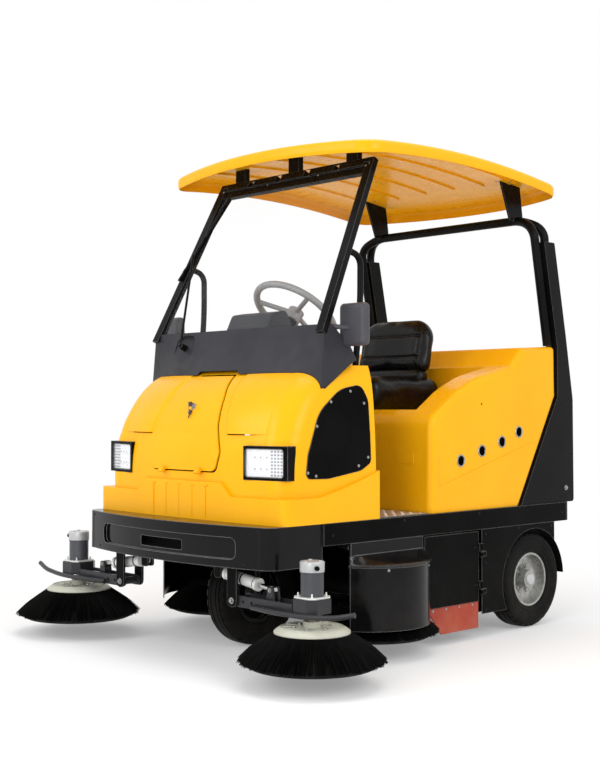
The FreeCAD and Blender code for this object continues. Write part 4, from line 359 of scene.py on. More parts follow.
@dataclass(frozen=True)
class Glass:
    """Clear sheet that is seen through, with faint smears and an uneven veil."""

    name: str
    colour: Colour
    rough: float
    alpha: float
    smear_scale: float = 7.0
    smear_rise: float = 0.05
    veil_scale: float = 3.0

    def build(self) -> bpy.types.Material:
        """Build the material.

        Returns:
            The material, made once for each sheet.
        """
        known = bpy.data.materials.get(self.name)
        if known is not None:
            return known
        material, graph, shader = new_material(self.name)
        smears = graph.effect(EFFECTS.uneven, Scale=self.smear_scale, Low=self.rough,
                              High=self.rough + self.smear_rise)
        veil = graph.effect(EFFECTS.uneven, Scale=self.veil_scale, Low=self.alpha, High=self.alpha * 2.0)
        graph.plug(shader, "Roughness", smears.outputs["Value"])
        graph.plug(shader, "Alpha", veil.outputs["Value"])
        graph.plug(shader, "Base Color", (*self.colour, 1.0))
        graph.plug(shader, "Specular IOR Level", 0.5)
        return material


YELLOW = Finish("yellow moulding", (0.92, 0.435, 0.004), (0.89, 0.412, 0.003), (0.26, 0.34), coat=0.04,
                specular=0.15, grain_scale=420.0, grain_depth=0.00006, edge=0.0015, bare_and_highlight=(1.0, 0.66, 0.12), edge_wear_and_highlight=0.05)
# The three black finishes below paint a light highlight line along every edge, with a bright edge colour and an even
# edge share, besides patches of rubbed wear.
GLOSS_BLACK = Finish("black gloss moulding", (0.003, 0.0028, 0.003), (0.005, 0.0046, 0.005), (0.10, 0.2),
                     specular=0.16, grain_depth=0.00004, edge=0.004, bare_and_highlight=(0.36, 0.35, 0.35), edge_wear_and_highlight=0.8,
                     even_edge_highlight=0.65, dust=0.02)
POWDER_BLACK = Finish("black powder coat", (0.0018, 0.0017, 0.0016), (0.004, 0.0037, 0.0036), (0.26, 0.4),
                      specular=0.035, grain_scale=1400.0, grain_depth=0.0001, edge=0.003, bare_and_highlight=(0.32, 0.31, 0.30),
                      edge_wear_and_highlight=0.7, even_edge_highlight=0.58, dust=0.012, dust_reach=0.5)
POST_BLACK = Finish("black painted tube", (0.004, 0.004, 0.004), (0.007, 0.007, 0.007), (0.22, 0.34),
                    specular=0.07, grain_scale=1400.0, grain_depth=0.00010, edge=0.003, bare_and_highlight=(0.28, 0.28, 0.28),
                    edge_wear_and_highlight=0.55, even_edge_highlight=0.4, dust=0.01)
COWL_GREY = Finish("grey-black moulding", (0.026, 0.026, 0.031), (0.036, 0.036, 0.042), (0.36, 0.5), specular=0.14,
                   grain_scale=1700.0, grain_depth=0.00015, edge=0.005, bare_and_highlight=(0.12, 0.12, 0.13), edge_wear_and_highlight=0.2, dust=0.02)
RUBBER = Finish("tyre rubber", (0.0030, 0.0030, 0.0030), (0.006, 0.006, 0.0057), (0.34, 0.5), specular=0.05,
                grain_scale=600.0, grain_depth=0.00012, edge=0.001, bare_and_highlight=(0.03, 0.029, 0.027), edge_wear_and_highlight=0.4, dust=0.03,
                dust_reach=0.5)
MIRROR_GREY = Finish("satin mirror shell", (0.060, 0.058, 0.067), (0.074, 0.072, 0.082), (0.3, 0.42), specular=0.2,
                     grain_scale=1700.0, grain_depth=0.0001, edge=0.003, bare_and_highlight=(0.16, 0.16, 0.17), edge_wear_and_highlight=0.2)
GALVANISED = Finish("galvanised steel", (0.22, 0.22, 0.21), (0.34, 0.34, 0.325), (0.3, 0.46), metallic=0.85,
                    grain=Grain.SPANGLE, grain_scale=90.0, grain_depth=0.0001, edge=0.0015,
                    bare_and_highlight=(0.50, 0.50, 0.48), edge_wear_and_highlight=0.2, dust=0.1, dust_reach=0.5)
BARE_STEEL = Finish("bare steel", (0.55, 0.55, 0.56), (0.44, 0.44, 0.45), (0.2, 0.34), metallic=1.0,
                    grain=Grain.BRUSHED, grain_scale=800.0, grain_depth=0.00005, edge=0.001,
                    bare_and_highlight=(0.75, 0.75, 0.76), edge_wear_and_highlight=0.3, dust=0.05)
ZINC = Finish("zinc plated bolt", (0.30, 0.30, 0.29), (0.40, 0.40, 0.39), (0.22, 0.34), metallic=0.95,
              grain_scale=900.0, grain_depth=0.00003, edge=0.0006, bare_and_highlight=(0.6, 0.6, 0.59), edge_wear_and_highlight=0.3)
BLACKENED = Finish("blackened bolt", (0.010, 0.010, 0.010), (0.016, 0.016, 0.016), (0.24, 0.36), metallic=0.5,
                   specular=0.2, grain_scale=900.0, grain_depth=0.00003, edge=0.0006, bare_and_highlight=(0.2, 0.2, 0.2), edge_wear_and_highlight=0.4)
YELLOW_ZINC = Finish("yellow passivated steel", (0.66, 0.50, 0.20), (0.56, 0.44, 0.20), (0.24, 0.38), metallic=0.9,
                     grain_scale=900.0, grain_depth=0.00004, edge=0.0008, bare_and_highlight=(0.8, 0.72, 0.5), edge_wear_and_highlight=0.3)
ARM_GREY = Finish("grey-black arm", (0.020, 0.0198, 0.023), (0.030, 0.0295, 0.034), (0.2, 0.32), specular=0.25,
                  grain_scale=1400.0, grain_depth=0.00008, edge=0.002, bare_and_highlight=(0.2, 0.2, 0.2), edge_wear_and_highlight=0.4, dust=0.03)
MOTOR_GREY = Finish("cast grey motor", (0.060, 0.062, 0.070), (0.085, 0.088, 0.098), (0.3, 0.44), metallic=0.3,
                    specular=0.25, grain_scale=700.0, grain_depth=0.0002, edge=0.002, bare_and_highlight=(0.4, 0.4, 0.41),
                    edge_wear_and_highlight=0.4, dust=0.05)
CAP_GREY = Finish("light cast cap", (0.42, 0.425, 0.43), (0.52, 0.525, 0.53), (0.32, 0.46), metallic=0.4,
                  grain_scale=700.0, grain_depth=0.0002, edge=0.002, bare_and_highlight=(0.65, 0.65, 0.66), edge_wear_and_highlight=0.4, dust=0.05)
WHITE_TUBE = Finish("white actuator tube", (0.66, 0.66, 0.64), (0.76, 0.76, 0.74), (0.2, 0.34), coat=0.2,
                    edge=0.002, bare_and_highlight=(0.4, 0.4, 0.4), edge_wear_and_highlight=0.3, dust=0.08)
DISC_GREY = Finish("pale moulded disc", (0.44, 0.44, 0.36), (0.52, 0.52, 0.44), (0.42, 0.56), grain_scale=900.0,
                   specular=0.3, grain_depth=0.00015, edge=0.003, bare_and_highlight=(0.6, 0.6, 0.55), edge_wear_and_highlight=0.3, dust=0.1,
                   dust_reach=0.5)
BRISTLE = Finish("black bristle", (0.0012, 0.0012, 0.0012), (0.003, 0.003, 0.0028), (0.46, 0.64), specular=0.06,
                 grain=Grain.BRUSHED, grain_scale=500.0, grain_depth=0.0001, edge=0.0003, dust=0.01, dust_reach=0.2)
RED_RUBBER = Finish("red rubber flap", (0.42, 0.055, 0.026), (0.34, 0.046, 0.024), (0.5, 0.66), specular=0.3,
                    grain_scale=500.0, grain_depth=0.0002, bare_and_highlight=(0.6, 0.2, 0.14), edge_wear_and_highlight=0.4, dust=0.35,
                    dust_reach=0.25, dust_colour=(0.50, 0.24, 0.16))
VINYL = Finish("black seat vinyl", (0.0028, 0.0028, 0.0026), (0.0045, 0.0045, 0.0043), (0.22, 0.32), specular=0.2,
               grain=Grain.LEATHER, grain_scale=420.0, grain_depth=0.00014, edge=0.003)
WHEEL_GREY = Finish("soft grey rim", (0.24, 0.24, 0.245), (0.28, 0.28, 0.285), (0.4, 0.52), grain=Grain.LEATHER,
                    grain_scale=700.0, grain_depth=0.0001, edge=0.002)
CHEQUER = Finish("chequer plate", (0.60, 0.56, 0.50), (0.72, 0.68, 0.62), (0.26, 0.42), metallic=0.9,
                 grain_scale=300.0, grain_depth=0.0001, edge=0.001, bare_and_highlight=(0.85, 0.82, 0.78), edge_wear_and_highlight=0.3, dust=0.1,
                 dust_reach=1.2)
DARK_BLOCK = Finish("battery case", (0.02, 0.02, 0.022), (0.03, 0.03, 0.033), (0.45, 0.6), dust=0.05)
SOFT_BLACK = Finish("soft black rubber", (0.002, 0.002, 0.002), (0.004, 0.004, 0.004), (0.55, 0.7), specular=0.05,
                    edge=0.001)
LAMP_WHITE = Finish("white lamp face", (0.76, 0.77, 0.79), (0.84, 0.85, 0.87), (0.2, 0.3), coat=0.3, edge=0.0005,
                    grain_scale=500.0, grain_depth=0.00003)
LAMP_CHIP = Finish("lamp chip", (0.22, 0.23, 0.26), (0.34, 0.35, 0.38), (0.12, 0.2), metallic=0.6, edge=0.0004,
                   grain_depth=0.00002)
RED_PLASTIC = Finish("red plastic", (0.55, 0.02, 0.015), (0.48, 0.018, 0.014), (0.2, 0.3), coat=0.3, edge=0.001)
SILVERED = Finish("silvered glass", (0.88, 0.89, 0.90), (0.84, 0.85, 0.86), (0.02, 0.05), metallic=1.0,
                  grain=Grain.NONE, edge=0.0005)
LENS = Glass("lamp lens", (0.92, 0.93, 0.95), 0.05, 0.10)
SCREEN = Glass("clear screen", (0.80, 0.84, 0.84), 0.03, 0.012)

NODE_FINISH = {
    YELLOW: ("front_shell", "access_door", "rear_body", "roof"),
    GLOSS_BLACK: ("front_bumper", "brush_shrouds"),
    MIRROR_GREY: ("mirrors",),
    POST_BLACK: ("uprights", "rear_hoop", "windscreen_frame", "grab_rails", "wiper"),
    COWL_GREY: ("cowl",),
    POWDER_BLACK: ("deck", "chassis_frame", "cross_members", "brush_lugs", "front_fork", "rear_axle", "front_rim",
                   "roller_housing", "wheel_arches", "side_panels", "headlamp_bezels", "hopper", "steering_column",
                   "mid_brush_mount_left", "mid_brush_mount_right",
                   "side_door_left", "side_door_right"),
    RUBBER: ("front_tyre", "rear_tyre_left", "rear_tyre_right"),
    GALVANISED: ("rear_rim_left", "rear_rim_right"),
    ARM_GREY: ("brush_arm_left", "brush_arm_right"),
    MOTOR_GREY: ("brush_motor_left", "brush_motor_right"),
    WHITE_TUBE: ("actuator_body_left", "actuator_body_right"),
    BARE_STEEL: ("actuator_rod_left", "actuator_rod_right"),
    DISC_GREY: ("front_brush_disc_left", "front_brush_disc_right"),
    BRISTLE: ("front_bristles_left", "front_bristles_right", "mid_brush_left", "mid_brush_right", "main_roller"),
    RED_RUBBER: ("door_flap_left", "door_flap_right"),
    VINYL: ("seat_cushion", "seat_backrest"),
    WHEEL_GREY: ("steering_wheel",),
    DARK_BLOCK: ("battery",),
    LENS: ("headlamp_lenses",),
    SCREEN: ("windscreen_glass",),
}


@dataclass(frozen=True)
class StudioLamp:
    """One soft round lamp of the studio."""

    name: str
    place: Point
    size: float
    watts: float
    aim: Point = (0, 0, 0.8)

    def build(self) -> None:
        """Hang the lamp and point it at the machine."""
        data = bpy.data.lights.new(self.name, "AREA")
        data.shape = "DISK"
        data.size = self.size
        data.energy = self.watts
        lamp = bpy.data.objects.new(self.name, data)
        bpy.context.scene.collection.objects.link(lamp)
        lamp.location = self.place
        lamp.rotation_euler = (Vector(self.aim) - Vector(self.place)).to_track_quat("-Z", "Y").to_euler()


@dataclass
class Studio:
    """Camera, lights, sky and floor."""

    eye: Point = (3.690, -3.651, 0.929)
    azimuth_deg: float = 46.38
    elevation_deg: float = -1.25
    lens_mm: float = 59.33
    sensor_mm: float = 36.0
    sees_to: float = 200.0
    ambient: float = 0.82
    floor_tone: Colour = (0.9, 0.9, 0.9)
    floor_radius: float = 40.0
    fade_from: float = 1.6
    fade_to: float = 3.2
    least_fade: float = 0.25
    lamps: tuple[StudioLamp, ...] = (StudioLamp("key lamp", (-1.8, -4.8, 3.6), 3.0, 75.0),
                                     StudioLamp("fill lamp", (2.2, -4.6, 1.5), 2.0, 50.0),
                                     StudioLamp("side lamp", (4.6, -0.6, 3.0), 2.5, 65.0),
                                     StudioLamp("top lamp", (0.2, 0.6, 5.2), 3.5, 80.0))

    def camera(self) -> None:
        """Place the camera where the photograph was taken."""
        data = bpy.data.cameras.new("camera")
        data.sensor_width = self.sensor_mm
        data.lens = self.lens_mm
        data.clip_end = self.sees_to
        camera = bpy.data.objects.new("camera", data)
        bpy.context.scene.collection.objects.link(camera)
        turn, rise = math.radians(self.azimuth_deg), math.radians(self.elevation_deg)
        back = Vector((math.sin(turn) * math.cos(rise), -math.cos(turn) * math.cos(rise), math.sin(rise)))
        camera.location = self.eye
        camera.rotation_euler = (-back).to_track_quat("-Z", "Y").to_euler()
        bpy.context.scene.camera = camera

    @staticmethod
    def seen(graph: Graph) -> bpy.types.NodeSocket:
        """Tell rays that see the background from those that light the machine.

        Args:
            graph: the tree that needs it.

        Returns:
            1 for rays from the camera, a reflection or a clear sheet, and otherwise 0.
        """
        path = graph.add("LightPath")
        share = graph.math("MAXIMUM", path.outputs["Is Camera Ray"], path.outputs["Is Glossy Ray"])
        return graph.math("MAXIMUM", share, path.outputs["Is Transmission Ray"])

    def sky(self) -> None:
        """Make the sky white where it is seen, and a plain soft light elsewhere."""
        world = bpy.data.worlds.new("studio")
        world.use_nodes = True
        bpy.context.scene.world = world
        graph = Graph(world.node_tree)
        world.node_tree.nodes.clear()
        soft = graph.add("Background", {"Color": WHITE, "Strength": self.ambient})
        white = graph.add("Background", {"Color": WHITE, "Strength": 1.0})
        mixed = graph.add("MixShader", {0: self.seen(graph), 1: soft.outputs[0], 2: white.outputs[0]})
        graph.add("OutputWorld", {"Surface": mixed.outputs[0]})

    def floor(self) -> None:
        """Lay a pale floor that keeps the shadow near the machine and fades to the white background."""
        material, graph, _ = new_material("pale floor")
        material.node_tree.nodes.clear()
        plain = graph.add("BsdfDiffuse", {"Color": (*self.floor_tone, 1)})
        white = graph.add("Emission", {"Color": WHITE, "Strength": 1.0})
        place = graph.add("TexCoord").outputs["Object"]
        reach = graph.add("VectorMath", {0: place}, operation="LENGTH").outputs["Value"]
        far = graph.ramp(reach, self.fade_from, self.fade_to, self.least_fade, 1.0)
        share = graph.math("MULTIPLY", far, self.seen(graph))
        mixed = graph.add("MixShader", {0: share, 1: plain.outputs[0], 2: white.outputs[0]})
        graph.add("OutputMaterial", {"Surface": mixed.outputs[0]})
        mesh = bmesh.new()
        bmesh.ops.create_circle(mesh, cap_ends=True, segments=96, radius=self.floor_radius)
        floor = as_object("floor", mesh, material)

    def build(self) -> None:
        """Set the whole studio up."""
        bpy.context.scene.view_settings.view_transform = "Standard"
        self.camera()
        self.sky()
        for lamp in self.lamps:
            lamp.build()
        self.floor()


def as_object(name: str, mesh: bmesh.types.BMesh, material: bpy.types.Material) -> bpy.types.Object:
    """Turn a bmesh into an object at the origin.

    Args:
        name: the piece's name.
        mesh: the shape, which is freed.
        material: the finish of all its faces.

    Returns:
        The new object.
    """
    data = bpy.data.meshes.new(name)
    mesh.to_mesh(data)
    mesh.free()
    data.shade_smooth()
    data.set_sharp_from_angle(angle=SHARP)
    data.materials.append(material)
    made = bpy.data.objects.new(name, data)
    bpy.context.scene.collection.objects.link(made)
    return made


def mm(x: float, y: float, z: float) -> Vector:
    """Return a point given in millimetres, in metres."""
    return Vector((x, y, z)) * MM


class Form:
    """A shape under work, put together in metres."""

    HOOP_SIDES = 8

    def __init__(self) -> None:
        """Start with nothing."""
        self.mesh = bmesh.new()

    def bar(self, start: Vector, end: Vector, radius: float, tip: float | None = None, segments: int = 20) -> list:
        """Add a closed round bar, or a taper, between two points.

        Args:
            start: middle of the first end.
            end: middle of the second end.
            radius: radius at the start.
            tip: radius at the end, the same where it is left out.
            segments: number of sides.

        Returns:
            The new vertices.
        """
        run = end - start
        place = Matrix.Translation((start + end) / 2) @ run.to_track_quat("Z", "Y").to_matrix().to_4x4()
        made = bmesh.ops.create_cone(self.mesh, cap_ends=True, segments=segments, radius1=radius,
                                     radius2=radius if tip is None else tip, depth=run.length, matrix=place)
        return made["verts"]

    def soft_bar(self, start: Vector, end: Vector, radius: float, rim: float, tip: float | None = None,
                 segments: int = 20, steps: int = 2) -> None:
        """Add a bar with rounded rims.

        Args:
            start: middle of the first end.
            end: middle of the second end.
            radius: radius at the start.
            rim: width of the rounding.
            tip: radius at the end, the same where it is left out.
            segments: number of sides.
            steps: number of facets of the rounding.
        """
        self.soften(self.bar(start, end, radius, tip, segments), rim, steps)

    def block(self, low: Vector, high: Vector, place: Matrix | None = None) -> list:
        """Add a box.

        Args:
            low: its lowest corner.
            high: its highest corner.
            place: what carries it, or None where the corners say it all.

        Returns:
            The new vertices.
        """
        size = Matrix.Diagonal((*(high - low), 1.0))
        where = Matrix.Translation((low + high) / 2) @ size
        made = bmesh.ops.create_cube(self.mesh, size=1.0, matrix=where if place is None else place @ where)
        return made["verts"]

    def soft_block(self, low: Vector, high: Vector, rim: float, place: Matrix | None = None, steps: int = 2) -> None:
        """Add a box with rounded edges.

        Args:
            low: its lowest corner.
            high: its highest corner.
            rim: width of the rounding.
            place: what carries it, or None where the corners say it all.
            steps: number of facets of the rounding.
        """
        self.soften(self.block(low, high, place), rim, steps)

    def bead(self, centre: Vector, size: Vector, turn: float, detail: int = 2) -> None:
        """Add a low oval bead that is turned about the upright axis."""
        place = Matrix.Translation(centre) @ Matrix.Rotation(turn, 4, "Z") @ Matrix.Diagonal((*size, 1.0))
        bmesh.ops.create_icosphere(self.mesh, subdivisions=detail, radius=1.0, matrix=place)

    def turned(self, profile: list[Spot] | tuple[Spot, ...], centre: Vector, axis: Vector, steps: int = 48) -> None:
        """Spin a closed (radius, height) outline about an axis.

        Args:
            profile: corners of the outline, in metres.
            centre: a point of the axis, where the height is nought.
            axis: the axis, of length one.
            steps: number of steps round.
        """
        side = axis.orthogonal().normalized()
        ring = [self.mesh.verts.new(centre + side * radius + axis * height) for radius, height in profile]
        edges = [self.mesh.edges.new(ends) for ends in zip(ring, ring[1:] + ring[:1])]
        bmesh.ops.spin(self.mesh, geom=ring + edges, cent=centre, axis=axis, dvec=NO_SHIFT, angle=FULL_TURN,
                       steps=steps, use_merge=True)

    def hoop(self, centre: Vector, axis: Vector, radius: float, thick: float, steps: int = 40) -> None:
        """Add a round ring.

        Args:
            centre: its middle.
            axis: its axis, of length one.
            radius: radius of the ring.
            thick: radius of its wire.
            steps: number of steps round.
        """
        turns = [FULL_TURN * index / self.HOOP_SIDES for index in range(self.HOOP_SIDES)]
        outline = [(radius + thick * math.cos(turn), thick * math.sin(turn)) for turn in turns]
        self.turned(outline, centre, axis, steps)

    def bevel(self, edges: list, width: float, steps: int) -> None:
        """Bevel the given edges."""
        bmesh.ops.bevel(self.mesh, geom=edges, offset=width, offset_type="OFFSET", segments=steps, profile=0.5,
                        affect="EDGES", material=-1, clamp_overlap=True)

    def bevel_along(self, axis: int, least: float, width: float, steps: int) -> None:
        """Bevel the edges that run along one axis.

        Args:
            axis: number of the axis.
            least: how far an edge has to run along it.
            width: width of the bevel.
            steps: number of its facets.
        """
        self.bevel([edge for edge in self.mesh.edges
                    if abs(edge.verts[0].co[axis] - edge.verts[1].co[axis]) > least], width, steps)

    def soften(self, verts: list, width: float, steps: int = 2) -> None:
        """Round the sharp edges between the given vertices.

        Args:
            verts: the vertices.
            width: width of the rounding.
            steps: number of its facets.
        """
        chosen = set(verts)
        self.bevel([edge for edge in self.mesh.edges if edge.verts[0] in chosen and edge.verts[1] in chosen
                    and len(edge.link_faces) == 2 and edge.calc_face_angle(0.0) > SHARP], width, steps)

    def thicken(self, wall: float) -> None:
        """Turn an open sheet's faces one way and give it a wall."""
        bmesh.ops.recalc_face_normals(self.mesh, faces=self.mesh.faces[:])
        bmesh.ops.solidify(self.mesh, geom=self.mesh.faces[:], thickness=wall)

    def round_the_axis(self, centre: Vector, axis: Vector, count: int) -> None:
        """Repeat everything evenly round an axis.

        Args:
            centre: a point of the axis.
            axis: the axis, of length one.
            count: how often the shape is there afterwards.
        """
        whole = self.mesh.verts[:] + self.mesh.edges[:] + self.mesh.faces[:]
        bmesh.ops.spin(self.mesh, geom=whole, cent=centre, axis=axis, dvec=NO_SHIFT, use_duplicate=True,
                       angle=FULL_TURN * (count - 1) / count, steps=count - 1)

    def both_sides(self) -> None:
        """Mirror everything to the machine's other side."""
        whole = self.mesh.verts[:] + self.mesh.edges[:] + self.mesh.faces[:]
        bmesh.ops.mirror(self.mesh, geom=whole, matrix=Matrix(), merge_dist=-1.0, axis="X")

    def finish(self, name: str, finish: object, body: str, slot: str, *nodes: str) -> None:
        """Close the shape and hang it on its body.

        Args:
            name: the piece's name.
            finish: its finish.
            body: the body that it rides on.
            slot: the record's material slot, which is not used.
            nodes: the CAD nodes that it stands for.
        """
        bmesh.ops.recalc_face_normals(self.mesh, faces=self.mesh.faces[:])
        piece = as_object(name, self.mesh, finish.build())
        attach(piece, body)
        if nodes:
            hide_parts(*nodes)
        LOG.info("%s: %d faces", name, len(piece.data.polygons))


class Skin:
    """Finds where a straight look meets some CAD nodes."""

    def __init__(self, *nodes: str) -> None:
        """Read the nodes' faces.

        Args:
            nodes: names of the CAD nodes.
        """
        self.trees = []
        for node in nodes:
            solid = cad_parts[node]
            points = [solid.matrix_world @ vert.co for vert in solid.data.vertices]
            self.trees.append(BVHTree.FromPolygons(points, [face.vertices[:] for face in solid.data.polygons]))

    def meet(self, start: Vector, way: Vector) -> tuple[Vector, Vector] | None:
        """Look for the nearest point of the nodes.

        Args:
            start: where the look starts.
            way: where it goes, of length one.

        Returns:
            The point and the outward normal there, or None.
        """
        hits = [tree.ray_cast(start, way) for tree in self.trees]
        hits = [hit for hit in hits if hit[0] is not None]
        if not hits:
            LOG.warning("nothing is met from %s along %s", tuple(start), tuple(way))
            return None
        point, normal, _, _ = min(hits, key=lambda hit: hit[3])
        return point, normal if normal.dot(way) < 0 else -normal


class Head(Enum):
    """The kinds of a screw's head."""

    PAN = (16, 0.5, 0.56, 0.0)
    HEX = (6, 0.66, 0.68, 0.0)
    SOCKET = (16, 0.5, 0.56, 0.26)

    def __init__(self, sides: int, rise: float, tip: float, socket: float) -> None:
        """Keep the head's measures.

        Args:
            sides: number of its sides.
            rise: its height, as a share of the washer's radius.
            tip: its upper radius, as such a share.
            socket: radius of its socket, as such a share, or nought.
        """
        self.sides = sides
        self.rise = rise
        self.tip = tip
        self.socket = socket


HEAD_SUNK, HEAD_WIDTH, HEAD_RIM = 0.4, 0.68, 0.12
WASHER_RISE, WASHER_RIM = 0.16, 0.06
SOCKET_DEPTH, SOCKET_RISE = 0.1, 0.02


def add_screw(form: Form, point: Vector, out: Vector, radius: float, head: Head) -> None:
    """Add a screw's head with its washer.

    Args:
        form: the shape that takes it.
        point: where it sits.
        out: the way that it faces.
        radius: the washer's radius in metres.
        head: its kind.
    """
    sunk = point - out * radius * HEAD_SUNK
    form.soft_bar(sunk, point + out * radius * WASHER_RISE, radius, radius * WASHER_RIM, steps=1)
    top = point + out * radius * head.rise
    form.soft_bar(sunk, top, radius * HEAD_WIDTH, radius * HEAD_RIM, radius * head.tip, head.sides)
    if head.socket:
        form.bar(top - out * radius * SOCKET_DEPTH, top + out * radius * SOCKET_RISE, radius * head.socket,
                 segments=6)


@dataclass(frozen=True)
class ScrewRow:
    """Screws of one kind on one node, placed by looking at it from outside."""

    name: str
    nodes: tuple[str, ...]
    body: str
    places: tuple[Point, ...]
    way: Vector
    radius: float
    head: Head = Head.PAN
    finish: Finish = ZINC
    mirrored: bool = True

    def build(self) -> None:
        """Set every screw on the surface that it meets."""
        form = Form()
        skin = Skin(*self.nodes)
        for place in self.places:
            met = skin.meet(mm(*place), self.way)
            if met is not None:
                add_screw(form, *met, self.radius * MM, self.head)
        if self.mirrored:
            form.both_sides()
        form.finish(self.name, self.finish, self.body, "steel")


@dataclass
class Fasteners:
    """The screws and bolts that show on the chassis and on the side doors. Places are (y, z) where x is outside."""

    outside: float = 700.0
    panel: tuple[Spot, ...] = ((-598.0, 694.0), (-560.0, 682.0), (-548.0, 858.0), (-470.0, 945.0), (-372.0, 984.0),
                               (-312.0, 940.0), (-304.0, 742.0), (-352.0, 712.0))
    arch: tuple[Spot, ...] = ((371.0, 110.0), (371.0, 300.0), (371.0, 414.0), (590.0, 424.0), (820.0, 360.0),
                              (820.0, 420.0))
    post: tuple[Spot, ...] = ((945.0, 575.0),)
    fascia: tuple[Spot, ...] = ((-500.0, 470.0), (-120.0, 500.0), (330.0, 500.0), (900.0, 470.0))
    shroud: tuple[Spot, ...] = ((-90.0, 338.0), (-310.0, 338.0))
    bumper: tuple[Point, ...] = ((489.0, -900.0, 500.0), (430.0, -900.0, 382.0))
    bracket: tuple[Point, ...] = ((397.0, 780.0, 1800.0), (360.0, 700.0, 1800.0), (434.0, 700.0, 1800.0))
    header: tuple[Point, ...] = ((150.0, -700.0, 1850.0), (420.0, -700.0, 1850.0))
    flap: tuple[Spot, ...] = ((45.0, 140.0), (125.0, 140.0), (205.0, 140.0), (285.0, 140.0))
    leaf: tuple[Spot, ...] = ((300.0, 215.0), (316.0, 215.0), (300.0, 365.0), (316.0, 365.0))

    def beside(self, places: tuple[Spot, ...], sign: float = 1.0) -> tuple[Point, ...]:
        """Give points of one side a start well outside it."""
        return tuple((sign * self.outside, y, z) for y, z in places)

    def build(self) -> None:
        """Place the rows of screws."""
        for name, node, places, way, radius, head, finish in (
                ("side_panel_screws", "side_panels", self.beside(self.panel), -LEFT, 5.5, Head.PAN, ZINC),
                ("arch_bolts", "wheel_arches", self.beside(self.arch), -LEFT, 6.0, Head.HEX, BLACKENED),
                ("post_bolts", "uprights", self.beside(self.post), -LEFT, 11.0, Head.HEX, ZINC),
                ("fascia_bolts", "deck", self.beside(self.fascia), -LEFT, 5.5, Head.SOCKET, BLACKENED),
                ("shroud_screws", "brush_shrouds", self.beside(self.shroud), -LEFT, 5.0, Head.PAN, ZINC),
                ("bumper_bolts", "front_bumper", self.bumper, REAR, 5.0, Head.PAN, BLACKENED),
                ("bracket_screws", "roof", self.bracket, UP, 6.0, Head.PAN, ZINC),
                ("header_screws", "windscreen_frame", self.header, REAR, 5.0, Head.SOCKET, ZINC)):
            ScrewRow(name, (node,), "chassis", places, way, radius, head, finish).build()
        for side, sign in SIDES:
            body = f"side_door_body_{side}"
            ScrewRow(f"flap_screws_{side}", (f"door_flap_{side}",), body, self.beside(self.flap, sign), -sign * LEFT,
                     5.0, mirrored=False).build()
            ScrewRow(f"door_hinge_screws_{side}", (f"side_door_{side}",), body, self.beside(self.leaf, sign),
                     -sign * LEFT, 4.0, finish=BLACKENED, mirrored=False).build()


